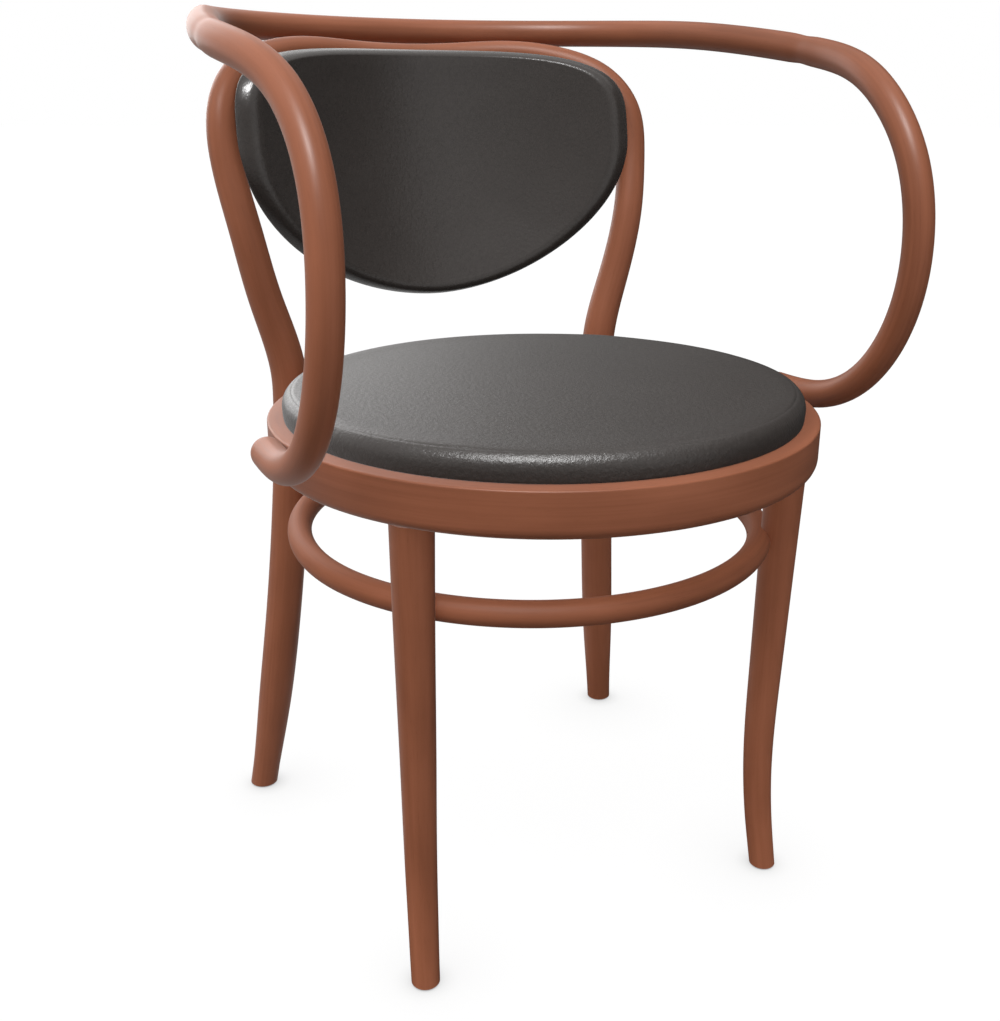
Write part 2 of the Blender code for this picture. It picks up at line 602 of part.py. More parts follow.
cloth_profile = [(0.0, cloth_top), (DUST_CLOTH_RADIUS, cloth_top), (DUST_CLOTH_RADIUS, cloth_low),
                 (0.0, cloth_low)]
dust_cloth = turned("seat_dust_cloth", cloth_profile, CLOTH, PAD_STEPS)
for piece in (seat_cover, seat_foam, seat_board, dust_cloth):
    piece.location = placed(0, 0, 0)
for number, degrees in enumerate(SEAT_SCREW_ANGLES, 1):
    head = around(SEAT_SCREW_RADIUS_AT, degrees, RING_BOTTOM + SEAT_SCREW_SINK)
    tip = around(SEAT_SCREW_RADIUS_AT, degrees, BOARD_BOTTOM + SEAT_SCREW_BITE)
    screw(f"seat_screw_{number}", head, tip)
    way = screw_way(f"seat_screw_{number}", head, tip, SEAT_SCREW_SINK + 0.01)
    cut(seat_ring, way)
    cut(seat_board, way)


# Back pad: panel, board, foam and leather, each a shield body
def shield(turn):
    """A point on the pad's outline at an angle in radians, as x and height."""
    power = BACK_PAD_TOP_POWER if np.sin(turn) > 0 else BACK_PAD_LOW_POWER
    tall = BACK_PAD_RISE if np.sin(turn) > 0 else BACK_PAD_FALL
    c, s = np.cos(turn), np.sin(turn)
    spread = BACK_PAD_HALF_WIDTH / (1 - BACK_PAD_WIDEST / BACK_PLAN_RADIUS)
    return (spread * np.sign(c) * abs(c) ** (2 / power),
            BACK_PAD_WIDEST_Z + tall * np.sign(s) * abs(s) ** (2 / power))


def shield_body(name, stations, stuff):
    """A closed body through stations of inset, share of the outline and forward place."""
    turns = np.linspace(0, 2 * np.pi, PAD_STEPS + 1)[:-1]
    rim = np.array([shield(t) for t in turns])
    middle = np.array((0.0, BACK_PAD_WIDEST_Z))
    along = np.roll(rim, -1, axis=0) - np.roll(rim, 1, axis=0)
    inward = np.column_stack([-along[:, 1], along[:, 0]]) / np.linalg.norm(along, axis=1)[:, None]
    corners = []
    faces = []
    last = []
    last_share = 0.0
    for inset, share, forward in stations:
        if share == 0.0:
            row = [len(corners)]
            corners.append(on_back(*middle, forward))
        else:
            row = list(range(len(corners), len(corners) + len(turns)))
            for x, z in middle + (rim + inward * inset - middle) * share:
                corners.append(on_back(x, z, forward))
        for i in range(len(turns)):
            j = (i + 1) % len(turns)
            if len(last) == 1:
                faces.append((last[0], row[i], row[j]))
            elif last and len(row) == 1:
                faces.append((last[j], last[i], row[0]))
            elif last and share > last_share:
                faces += [(last[j], last[i], row[i]), (last[j], row[i], row[j])]
            elif last:
                faces += [(last[j], last[i], row[j]), (last[i], row[i], row[j])]
        last = row
        last_share = share
    mesh = bpy.data.meshes.new(name)
    mesh.from_pydata([tuple(p) for p in corners], [], faces)
    work = bmesh.new()
    work.from_mesh(mesh)
    bmesh.ops.recalc_face_normals(work, faces=work.faces)
    work.to_mesh(mesh)
    work.free()
    return keep(name, mesh, stuff)


def crowned(inset, forward):
    """Stations over the pad's crown from the middle to where the edge roll starts."""
    return [(inset, share, forward + BACK_CROWN * (1 - share ** 2)) for share in PAD_SHARES]


def rolled(inset, forward):
    """Stations round the edge roll to the pad's widest place."""
    return [(inset + BACK_ROLL_INSET * (1 - np.cos(a)), 1.0,
             BACK_PAD_WIDEST + (forward - BACK_PAD_WIDEST) * np.sin(a)) for a in np.radians((90, 62, 34, 0))]


def flat(inset, forward):
    """Stations over a plain face, from the middle to the edge, on the same inner outlines for every piece."""
    return [(0.0, share, forward) for share in PAD_SHARES] + [(inset, 1.0, forward)]


cover_front = BACK_PAD_SHOULDER
lining_front = cover_front - LEATHER
foam_front = lining_front - CLEARANCE
rear_edge = [(BACK_EDGE_TUCK, 1.0, BOARD_REAR), (BACK_EDGE_TUCK + LEATHER, 1.0, BOARD_REAR)]
cover_stations = crowned(BACK_ROLL_INSET, cover_front) + rolled(0.0, cover_front) + rear_edge
cover_stations += rolled(LEATHER, lining_front)[::-1]
cover_stations += crowned(BACK_ROLL_INSET + LEATHER, lining_front)[::-1]
back_cover = shield_body("back_cover", cover_stations, LEATHER_BLACK)
back_board = shield_body("back_board", flat(BACK_BOARD_INSET, BOARD_FRONT)
                         + flat(BACK_BOARD_INSET, BOARD_REAR)[::-1], PLYWOOD)
foam_rear = BOARD_FRONT + 2 * CLEARANCE
foam_inset = LEATHER + CLEARANCE
foam_roll = rolled(foam_inset, foam_front)
foam_edge = np.interp(foam_rear, [s[2] for s in foam_roll[::-1]], [s[0] for s in foam_roll[::-1]])
back_foam = shield_body("back_foam", crowned(BACK_ROLL_INSET + foam_inset, foam_front)
                        + [s for s in foam_roll if s[2] > foam_rear] + flat(foam_edge, foam_rear)[::-1], FOAM)
panel_front = BOARD_REAR - CLEARANCE
back_panel = shield_body("back_panel", flat(BACK_PANEL_INSET, panel_front)
                         + flat(BACK_PANEL_INSET, PANEL_REAR)[::-1], LEATHER_BLACK)


# Screws from the hoop into the back board and from the hoop into the rail
def along_hoop(x_or_z, key):
    """The hoop's middle line nearest to a value of one coordinate on the +X side, upper part."""
    rows = spline(hoop_points, hoop_radii, 1801)
    rows = rows[(rows[:, 0] >= 0) & (rows[:, 2] > HOOP_SIDE_Z - 0.05)]
    if key == 0:
        rows = rows[rows[:, 2] > HOOP_SIDE_Z + 0.02]
    return rows[np.abs(rows[:, key] - x_or_z).argmin()]


def both_sides(name, head, tip, sink, *others):
    """A screw and its mirror, with holes in every piece they pass."""
    for side, word in ((-1, "left"), (1, "right")):
        flip = Vector((side, 1, 1))
        a, b = head * flip, tip * flip
        screw(f"{name}_{word}", a, b)
        way = screw_way(f"{name}_{word}", a, b, sink)
        for other in others:
            cut(other, way)


def pad_screw(name, row, x, z):
    """A slanting screw from a hoop point into the back board's depth at x and height."""
    middle = Vector(row[:3])
    tip = on_back(x, z, (BOARD_REAR + BOARD_FRONT) / 2)
    way = (tip - middle).normalized()
    both_sides(name, middle - way * 0.3 * row[3], tip, 2 * row[3], back_hoop, back_panel, back_board)


top_row = along_hoop(PAD_SCREW_TOP_X, 0)
pad_screw("pad_screw_top", top_row, PAD_SCREW_TOP_X, top_row[2] - PAD_SCREW_REACH)
side_row = along_hoop(BACK_PAD_WIDEST_Z, 2)
pad_screw("pad_screw_side", side_row, side_row[0] - PAD_SCREW_REACH, BACK_PAD_WIDEST_Z)
touch_row = along_hoop(RAIL_TOUCH_X, 0)
hoop_at = Vector(touch_row[:3])
rail_at = rail_point(touch_row[0])
rail_way = (rail_at - hoop_at).normalized()
both_sides("rail_screw", hoop_at - rail_way * 0.3 * touch_row[3], rail_at + rail_way * 0.3 * BOW_RADIUS,
           2 * touch_row[3], back_hoop, arm_bow)

# Leg ring screws, heads on the inner side
front_rows = front_leg_line(1)
front_at = Vector(front_rows[np.abs(front_rows[:, 2] - LEG_RING_Z).argmin()][:3])
rear_at = around(rear_out, REAR_LEG_ANGLE, LEG_RING_Z)
ring_middle = placed(0, LEG_RING_CENTRE_Y, LEG_RING_Z)
for word, spot, other in (("front", front_at, None), ("rear", rear_at, back_hoop)):
    spot = Vector((spot.x, spot.y, LEG_RING_Z))
    turns = np.linspace(-np.pi / 2, np.pi / 2, 721)
    line = [leg_ring_point(t) for t in turns]
    near = min(line, key=lambda p: (p - spot).length)
    outward = (near - ring_middle).normalized()
    head = near - outward * 0.3 * LEG_RING_ROD
    tip = near + outward * 1.9 * LEG_RING_ROD
    for side, hand in ((-1, "left"), (1, "right")):
        flip = Vector((side, 1, 1))
        a, b = head * flip, tip * flip
        screw(f"leg_ring_screw_{word}_{hand}", a, b)
        way = screw_way(f"leg_ring_screw_{word}_{hand}", a, b, 2 * LEG_RING_ROD)
        cut(leg_ring, way)
        cut(other or bpy.data.objects["front_leg_" + hand], way)
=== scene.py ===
# %% [markdown]
# # A bentwood armchair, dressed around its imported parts
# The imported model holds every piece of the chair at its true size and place. This lesson keeps it as a
# fixed frame and makes what the eye sees: fine bent rods with grain that follows the bend, two leather
# pads that are blown up like real cushions, and the light of a plain studio.

import json

import bpy
import numpy as np
from mathutils import Matrix, Vector

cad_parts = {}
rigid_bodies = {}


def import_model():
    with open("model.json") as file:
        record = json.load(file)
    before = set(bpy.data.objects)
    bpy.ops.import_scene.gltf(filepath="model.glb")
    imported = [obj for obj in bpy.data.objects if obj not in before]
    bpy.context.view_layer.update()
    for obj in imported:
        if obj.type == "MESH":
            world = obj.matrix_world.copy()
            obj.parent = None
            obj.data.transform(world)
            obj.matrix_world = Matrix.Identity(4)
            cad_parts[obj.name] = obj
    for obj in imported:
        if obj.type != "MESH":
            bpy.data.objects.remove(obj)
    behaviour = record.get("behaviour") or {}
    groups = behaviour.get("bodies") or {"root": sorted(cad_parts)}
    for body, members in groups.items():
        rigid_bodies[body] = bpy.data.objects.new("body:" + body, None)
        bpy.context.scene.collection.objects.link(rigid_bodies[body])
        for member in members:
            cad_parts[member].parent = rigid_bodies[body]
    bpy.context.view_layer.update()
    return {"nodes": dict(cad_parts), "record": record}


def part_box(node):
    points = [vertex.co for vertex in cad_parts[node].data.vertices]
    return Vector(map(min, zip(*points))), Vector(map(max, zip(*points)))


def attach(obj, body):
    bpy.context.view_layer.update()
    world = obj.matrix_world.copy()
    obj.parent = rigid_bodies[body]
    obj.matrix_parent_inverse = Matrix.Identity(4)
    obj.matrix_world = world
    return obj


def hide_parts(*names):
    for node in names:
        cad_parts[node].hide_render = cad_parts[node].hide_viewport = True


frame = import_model()
scene = bpy.context.scene
scene.view_settings.view_transform = "Standard"

# %% [markdown]
# ## The camera
# The picture was taken from the front left, a little above the seat. The place and the lens come from a
# fit of the seat ring, the stretcher hoop and the feet, so they are written down as plain numbers. A camera
# of Blender looks straight down at first: it is rolled a little, tilted up, turned round and then moved.

# %% Camera
CAMERA_PLACE = (-0.46329, -0.88295, 0.67925)
CAMERA_AZIMUTH, CAMERA_HEIGHT, CAMERA_ROLL = np.radians((-27.339, 19.417, 0.065))
CAMERA_LENS = 41.373
CAMERA_SHIFT = (-0.01343, -0.00047)


def placed(name, data):
    """Put a mesh, a lamp or a camera into the scene under its name."""
    made = bpy.data.objects.new(name, data)
    scene.collection.objects.link(made)
    return made


camera = placed("camera", bpy.data.cameras.new("camera"))
scene.camera = camera
turned = Matrix.Rotation(CAMERA_AZIMUTH, 4, "Z") @ Matrix.Rotation(np.pi / 2 - CAMERA_HEIGHT, 4, "X")
camera.matrix_world = Matrix.Translation(CAMERA_PLACE) @ turned @ Matrix.Rotation(CAMERA_ROLL, 4, "Z")
camera.data.sensor_width = 36.0
camera.data.lens = CAMERA_LENS
camera.data.shift_x, camera.data.shift_y = CAMERA_SHIFT
print("camera at", CAMERA_PLACE, "lens", CAMERA_LENS)

# %% [markdown]
# ## Small tools for shader nodes
# Every finish below is a handful of nodes. One helper adds a node, sets its plain values and links its
# inputs, so that a finish reads like a recipe.

# %% Node helpers


def give(tree, socket, value):
    """Link an input if it is given a socket, else set its own value."""
    if isinstance(value, bpy.types.NodeSocket):
        tree.links.new(value, socket)
    else:
        socket.default_value = value


def add(tree, kind, feeds=None, **settings):
    """Add a node with its settings and feed its inputs."""
    made = tree.nodes.new(kind)
    for key, value in settings.items():
        setattr(made, key, value)
    for key, value in (feeds or {}).items():
        give(tree, made.inputs[key], value)
    return made


def math(tree, operation, a, b, c=0.0):
    """One step of arithmetic on sockets or numbers."""
    return add(tree, "ShaderNodeMath", {0: a, 1: b, 2: c}, operation=operation).outputs[0]


def ramp(tree, factor, stops):
    """Colours at given places between 0 and 1, with straight blends."""
    made = add(tree, "ShaderNodeValToRGB", {"Fac": factor})
    line = made.color_ramp.elements
    while len(line) < len(stops):
        line.new(0.5)
    for stop, (place, colour) in zip(line, stops):
        stop.position = place
        stop.color = (*colour, 1.0)
    return made.outputs["Color"]


def noise(tree, vector, scale, detail=3.0, roughness=0.5):
    """A cloud of values round one half."""
    feeds = {"Vector": vector, "Scale": scale, "Detail": detail, "Roughness": roughness}
    return add(tree, "ShaderNodeTexNoise", feeds).outputs["Fac"]


def stretched(tree, vector, scale):
    """The same coordinates, drawn out or squeezed along each axis."""
    return add(tree, "ShaderNodeMapping", {"Vector": vector, "Scale": scale}).outputs["Vector"]


def finish(name):
    """A new material with its tree and its main shader."""
    made = bpy.data.materials.new(name)
    made.use_nodes = True
    return made, made.node_tree, made.node_tree.nodes["Principled BSDF"]


def feed(tree, shader, **feeds):
    """Feed inputs of the main shader, with _ for a space in their names."""
    for key, value in feeds.items():
        give(tree, shader.inputs[key.replace("_", " ")], value)


def coat(tree, shader, colour, rough, height, strength, depth, **more):
    """Feed the main shader with a colour, a roughness and a bump of the height."""
    bump = add(tree, "ShaderNodeBump", {"Height": height, "Strength": strength, "Distance": depth})
    feed(tree, shader, Base_Color=colour, Roughness=rough, Normal=bump.outputs["Normal"], **more)


print("node helpers ready")

# %% [markdown]
# ## Stained beech
# Bentwood is steamed straight stock, so its grain runs along every bend. A flat texture would show a
# seam along the rod. Instead each wooden piece carries straight_grain: where a point was in the stock
# before bending. A second attribute holds painted light and shade: it makes one end of a rod a little
# paler than the other. The stain shows long soft layers, slow drifts of tone and beech's short dark
# flecks, under a satin lacquer.

# %% Stained beech
BEECH_DARK = (0.235, 0.077, 0.036)
BEECH_MIDDLE = (0.305, 0.102, 0.049)
BEECH_LIGHT = (0.370, 0.127, 0.063)


def stained_beech(name, roughness, shine):
    """Tone = drift + painted light + layers - flecks. Lengths in metres: scale 8 makes features of 125 mm."""
    made, tree, shader = finish(name)
    grain = add(tree, "ShaderNodeAttribute", attribute_name="straight_grain").outputs["Vector"]
    drift = noise(tree, stretched(tree, grain, (9.0, 30.0, 30.0)), 1.0, 2.0)
    layers = noise(tree, stretched(tree, grain, (5.0, 330.0, 120.0)), 1.0, 4.0, 0.6)
    pores = noise(tree, stretched(tree, grain, (95.0, 1500.0, 1500.0)), 1.0, 2.0)
    deep = {"Value": pores, "From Min": 0.60, "From Max": 0.72}
    flecks = add(tree, "ShaderNodeMapRange", deep).outputs["Result"]
    # Painted light and shade: one end of each rod is made paler than the other.
    painted_shift = add(tree, "ShaderNodeAttribute", attribute_name="painted_light_tone").outputs["Fac"]
    tone = math(tree, "ADD", math(tree, "MULTIPLY_ADD", drift, 0.75, -0.12), painted_shift)
    tone = math(tree, "MULTIPLY_ADD", layers, 0.55, tone)
    tone = math(tree, "MULTIPLY_ADD", flecks, -0.10, tone)
    colour = ramp(tree, tone, [(0.25, BEECH_DARK), (0.52, BEECH_MIDDLE), (0.80, BEECH_LIGHT)])
    rough = math(tree, "MULTIPLY_ADD", layers, 0.10, roughness - 0.05)
    height = math(tree, "MULTIPLY_ADD", flecks, -0.6, layers)
    coat(tree, shader, colour, rough, height, 0.10, 0.0004, Specular_IOR_Level=shine)
    return made


BEECH = stained_beech("stained_beech_finish", 0.42, 0.22)
DULL_BEECH = stained_beech("dull_beech_finish", 0.56, 0.16)
print("finish", BEECH.name, len(BEECH.node_tree.nodes), "nodes, and a duller one for the stretcher")

# %% [markdown]
# ## Leather
# The pads wear a smooth, dark, warm grey leather with a fine pebble. Voronoi cells about 3 mm wide give
# the pebbles, a finer cloud breaks them up, and the bump is shallow, so that the rim of a pad glitters
# along its highlight.

# %% Dark leather
LEATHER_DARK = (0.0378, 0.0314, 0.0280)
LEATHER_LIGHT = (0.0560, 0.0478, 0.0436)
LEATHER_SHINE = 0.42


def dark_leather(name, pebble, roughness):
    """Height = pebble cells broken by a cloud. Hollows are darker and a little rougher."""
    made, tree, shader = finish(name)
    place = add(tree, "ShaderNodeTexCoord").outputs["Object"]
    bent = add(tree, "ShaderNodeTexNoise", {"Vector": place, "Scale": 300.0, "Detail": 2.0}).outputs["Color"]
    wavy = add(tree, "ShaderNodeVectorMath", {0: bent, 1: (0.0010, 0.0010, 0.0010)}, operation="MULTIPLY")
    moved = add(tree, "ShaderNodeVectorMath", {0: place, 1: wavy.outputs[0]}, operation="ADD").outputs[0]
    cells = add(tree, "ShaderNodeTexVoronoi", {"Vector": moved, "Scale": 330.0}, feature="SMOOTH_F1")
    fine = noise(tree, place, 800.0, 4.0, 0.6)
    height = math(tree, "MULTIPLY_ADD", cells.outputs["Distance"], -0.8, fine)
    broad = noise(tree, place, 14.0, 3.0)
    tone = math(tree, "MULTIPLY_ADD", height, 0.50, math(tree, "MULTIPLY_ADD", broad, 0.30, 0.25))
    colour = ramp(tree, tone, [(0.30, LEATHER_DARK), (0.75, LEATHER_LIGHT)])
    rough = math(tree, "MULTIPLY_ADD", height, -0.08, roughness)
    coat(tree, shader, colour, rough, height, pebble, 0.0006, Specular_IOR_Level=LEATHER_SHINE)
    return made


LEATHER = dark_leather("dark_leather_finish", 0.22, 0.275)
SEAT_LEATHER = dark_leather("seat_leather_finish", 0.50, 0.355)
print("finish", LEATHER.name, len(LEATHER.node_tree.nodes), "nodes, and one with more pebble for the seat")

# %% [markdown]
# ## Small finishes
# Zinc plated steel for the screws and bolts, moulded dark plastic for the glides, raw plywood for the
# boards and a thin black cloth under the seat. They show little, but each is more than one flat colour.

# %% Steel, plastic, plywood and cloth


def small_finish(name, dark, light, scale, roughness, bumps, metallic=0.0):
    """A tone that wanders between two colours, with roughness and bump from the same cloud."""
    made, tree, shader = finish(name)
    place = add(tree, "ShaderNodeTexCoord").outputs["Object"]
    cloud = noise(tree, stretched(tree, place, scale), 1.0, 4.0, 0.6)
    colour = ramp(tree, cloud, [(0.32, dark), (0.68, light)])
    rough = math(tree, "MULTIPLY_ADD", cloud, 0.16, roughness - 0.08)
    coat(tree, shader, colour, rough, cloud, bumps, 0.0003, Metallic=metallic)
    return made


STEEL = small_finish("zinc_steel_finish", (0.20, 0.20, 0.20), (0.29, 0.29, 0.285), (900, 900, 900),
                     0.46, 0.05, 1.0)
PLASTIC = small_finish("glide_plastic_finish", (0.050, 0.026, 0.018), (0.075, 0.038, 0.026),
                       (2600, 2600, 2600), 0.52, 0.15)
PLYWOOD = small_finish("plywood_finish", (0.42, 0.28, 0.15), (0.54, 0.38, 0.22), (18, 18, 900), 0.62, 0.12)
CLOTH = small_finish("dust_cloth_finish", (0.012, 0.012, 0.012), (0.034, 0.033, 0.032), (2400, 2400, 2400),
                     0.92, 0.35)
SLOT_FINISH = {"zinc_steel": STEEL, "glide_plastic": PLASTIC, "plywood": PLYWOOD, "stained_beech": BEECH,
               "dark_leather": LEATHER, "dust_cloth": CLOTH, "foam": PLYWOOD}
for row in frame["record"]["subparts"]:
    node = frame["nodes"][row["node"]]
    node.data.materials.clear()
    node.data.materials.append(SLOT_FINISH[row["material_slot"]])
print(len(frame["nodes"]), "nodes have their finish")

# %% [markdown]
# ## Putting a surface into the scene
# Each new piece is a grid of points and a list of faces. It rides on the only body, takes the place of
# its node in the frame and names the finish that it belongs to.

# %% Piece helper
# Painted light and shade on a rod blends between these shares of its length.
PAINTED_TONE_TURN = (0.38, 0.65)
SHARP = 35.0


def blend(t):
    """A rise from 0 to 1 that is level at both ends: 3t^2 - 2t^3."""
    t = np.clip(t, 0.0, 1.0)
    return t * t * (3 - 2 * t)


def painted_light_tone(grain, ends):
    """Painted light and shade: the tones of a rod's two ends, blended over a middle share of its length."""
    far = grain[:, 0] - grain[:, 0].min()
    share = (far / far.max() - PAINTED_TONE_TURN[0]) / (PAINTED_TONE_TURN[1] - PAINTED_TONE_TURN[0])
    return ends[0] + (ends[1] - ends[0]) * blend(share)


def mesh_of(name, points, faces, made=None):
    """A mesh from points and faces, with its finish."""
    mesh = bpy.data.meshes.new(name)
    mesh.from_pydata(points.tolist(), [], faces)
    if made:
        mesh.materials.append(made)
    return mesh


def add_piece(name, points, faces, finish_of, nodes, grain=None, ends=(0.0, 0.0), smooth=SHARP):
    """A piece on its body, smooth except over edges sharper than an angle in degrees."""
    mesh = mesh_of(name, points, faces, finish_of)
    if grain is not None:
        field = mesh.attributes.new("straight_grain", "FLOAT_VECTOR", "POINT")
        field.data.foreach_set("vector", grain.astype(np.float32).ravel())
        # The second attribute is painted light and shade, a tone that runs from one end of a rod to the
        # other.
        shade = mesh.attributes.new("painted_light_tone", "FLOAT", "POINT")
        shade.data.foreach_set("value", painted_light_tone(grain, ends).astype(np.float32))
    mesh.shade_smooth()
    mesh.set_sharp_from_angle(angle=np.radians(smooth))
    made = placed(name, mesh)
    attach(made, "root")
    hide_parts(*nodes)
    print(name, len(points), "points,", len(faces), "faces")
    return made


def grid_faces(rows, columns, join_rows=False, join_columns=True):
    """Quads over a grid whose columns, and perhaps rows, join up round the piece."""
    tall, wide = rows - (not join_rows), columns - (not join_columns)
    i, j = np.meshgrid(np.arange(tall), np.arange(wide), indexing="ij")
    k, m = (i + 1) % rows, (j + 1) % columns
    quads = [i * columns + j, i * columns + m, k * columns + m, k * columns + j]
    return np.stack(quads, axis=-1).reshape(-1, 4)


print("piece helper ready")

# %% [markdown]
# ## Bent rods
# A rod could be a curve with a bevel, but then its end caps, its flat feet and its grain are hard to
# steer. A profile carried along a path gives all three: a natural cubic spline through measured points,
# a circle square to it at every step, and the unbent place of each point kept for the grain.

# %% Rod tools
ROD_SIDES = 36
STEP = 0.0045


def unit(vectors):
    """Vectors of length one."""
    return vectors / np.linalg.norm(vectors, axis=-1, keepdims=True)


def turns(count):
    """Even angles once round."""
    return 2 * np.pi * np.arange(count) / count


def circle(count):
    """Points on a level circle of radius one."""
    return np.column_stack([np.cos(turns(count)), np.sin(turns(count)), np.zeros(count)])


def run_of(points):
    """Length along a line of points, from 0 at the first."""
    return np.concatenate([[0.0], np.cumsum(np.linalg.norm(np.diff(points, axis=0), axis=1))])


def smooth_path(points):
    """Natural cubic through rows of x, y, z and radius in millimetres: the second derivatives solve the
    tridiagonal system over chord lengths, and the curve is read at even chord steps."""
    rows = np.array(points, float) / 1000.0
    knots = run_of(rows[:, :3])
    step = np.diff(knots)
    inner = np.arange(1, len(knots) - 1)
    system = np.eye(len(knots))
    system[inner, inner - 1] = step[:-1]
    system[inner, inner] = 2 * (step[:-1] + step[1:])
    system[inner, inner + 1] = step[1:]
    right = np.zeros_like(rows)
    right[1:-1] = 6 * np.diff(np.diff(rows, axis=0) / step[:, None], axis=0)
    bend = np.linalg.solve(system, right)
    at = np.linspace(0.0, knots[-1], int(knots[-1] / STEP) + 1)
    k = np.clip(np.searchsorted(knots, at, side="right") - 1, 0, len(step) - 1)
    h = step[k][:, None]
    a = (knots[k + 1] - at)[:, None] / h
    b = 1.0 - a
    return a * rows[k] + b * rows[k + 1] + ((a ** 3 - a) * bend[k] + (b ** 3 - b) * bend[k + 1]) * h ** 2 / 6


print("paths are read every", STEP * 1000, "mm")

# %% Rod surface


def rod_surface(rows, aside, closed=False):
    """Point (i, j) = middle(i) + radius(i) * (cos t(j) * across(i) + sin t(j) * over(i)). Across is the
    aside direction made square to the path, over is square to both. Returns the grid, the path's
    direction and the unbent place of every point."""
    middle = rows[:, :3]
    ahead = np.gradient(middle, axis=0)
    if closed:
        ahead = np.roll(middle, -1, axis=0) - np.roll(middle, 1, axis=0)
    along = unit(ahead)
    across = unit(aside - along * (aside * along).sum(axis=1, keepdims=True))
    over = np.cross(along, across)
    turn = turns(ROD_SIDES)
    c, s = np.cos(turn)[None, :, None], np.sin(turn)[None, :, None]
    radius = rows[:, None, 3:]
    grid = middle[:, None] + radius * (c * across[:, None] + s * over[:, None])
    far = np.broadcast_to(run_of(middle)[:, None, None], radius.shape[:1] + (ROD_SIDES, 1))
    return grid, along, np.concatenate([far, radius * c + 0 * far, radius * s + 0 * far], axis=2)


def capped(grid, grain):
    """Close both ends of a rod with a fan round the middle of its end ring."""
    rows, columns = grid.shape[:2]
    points = np.concatenate([grid.reshape(-1, 3), grid[:1].mean(axis=1), grid[-1:].mean(axis=1)])
    places = np.concatenate([grain.reshape(-1, 3), grain[:1].mean(axis=1), grain[-1:].mean(axis=1)])
    j = np.arange(columns)
    m = (j + 1) % columns
    first, last = rows * columns, rows * columns + 1
    end = (rows - 1) * columns
    fans = [np.stack([0 * j + first, m, j], axis=1), np.stack([0 * j + last, end + j, end + m], axis=1)]
    return points, places, grid_faces(rows, columns).tolist() + np.concatenate(fans).tolist()


print("rods have", ROD_SIDES, "sides")

# %% Feet
FOOT_LEVEL, FOOT_ROUND, FOOT_CLEAR, ROW_GAP = 0.0008, 0.0008, 0.006, 0.0002
RECESS_RADIUS, RECESS_DEPTH = 0.0100, 0.0035


def flat_foot(rows):
    """Cut a path that starts at a foot: keep what stands clear of the floor, then add two rows for a rounded
    edge and, before them, two for the recess that takes the glide."""
    clear = rows[rows[:, 2] > FOOT_LEVEL + FOOT_CLEAR]
    way = (clear[0] - clear[1]) / (clear[1, 2] - clear[0, 2])
    drop = clear[0, 2] - FOOT_LEVEL + np.array((2 * ROW_GAP, ROW_GAP, 0.0, -FOOT_ROUND))
    return np.concatenate([clear[0] + way * drop[:, None], clear])


def level_foot(grid, along):
    """Slide two rings along the rod until they are level, draw the lower one in for a rounded edge, and turn
    the two before it into a round recess."""
    for ring, height in ((2, FOOT_LEVEL), (3, FOOT_LEVEL + FOOT_ROUND)):
        slide = (height - grid[ring][:, 2:]) / along[4, 2]
        grid[ring] = grid[ring] + along[4] * slide
    middle = grid[2].mean(axis=0)
    outward = unit(grid[2] - middle)
    grid[2] = grid[2] - outward * FOOT_ROUND
    grid[1] = middle + outward * RECESS_RADIUS
    grid[0] = grid[1] + np.array((0.0, 0.0, RECESS_DEPTH))
    return grid


print("feet have a recess", RECESS_DEPTH * 1000, "mm deep")

# %% [markdown]
# ## Front legs
# Two tapered legs with a soft bow and a little kick forward at the foot. They end flat under the seat
# ring. The right leg is written down, and the left one is its mirror, made by turning x round in the
# points, so that its faces still look outwards.

# %% Front legs
FRONT_LEG = [(171.99, -166.56, -15.69, 11.4), (171.39, -163.86, 0.0, 11.6), (168.99, -156.27, 47.08, 12.2),
             (167.5, -151.36, 98.07, 12.85), (167.43, -151.46, 196.15, 14.1),
             (168.39, -153.66, 298.15, 15.4), (168.99, -156.16, 392.3, 16.6)]
FRONT_LEG_TOP = 0.3963
BACKWARD = np.array((0.0, 1.0, 0.0))
LEG_STOCK, LEG_APART = np.array((0.9, 0.0, 0.0)), np.array((0.6, 0.011, 0.0))


def front_leg(side):
    """The leg's path with a straight collar on top, swept with its circle."""
    rows = smooth_path(FRONT_LEG) * (side, 1, 1, 1)
    top = rows[-1] + (0.0, 0.0, FRONT_LEG_TOP - rows[-1, 2], 0.0)
    rows = flat_foot(np.concatenate([rows, [top]]))
    grid, along, grain = rod_surface(rows, BACKWARD)
    return capped(level_foot(grid, along), grain + LEG_STOCK + side * LEG_APART)


# Painted light: the right leg is made paler, most of all towards its foot.
for side, word, ends in ((-1, "left", (0.0, 0.0)), (1, "right", (0.16, 0.03))):
    points, grain, faces = front_leg(side)
    name = "front_leg_" + word
    add_piece("turned_" + name, points, faces, BEECH, [name], grain, ends)

# %% [markdown]
# ## Back hoop
# One rod is both rear legs and the inner hoop of the back: up from one foot, past the seat ring, over
# behind the back pad and down to the other foot. Half of it is written down from the top middle to the
# right foot, and the other half is its mirror.

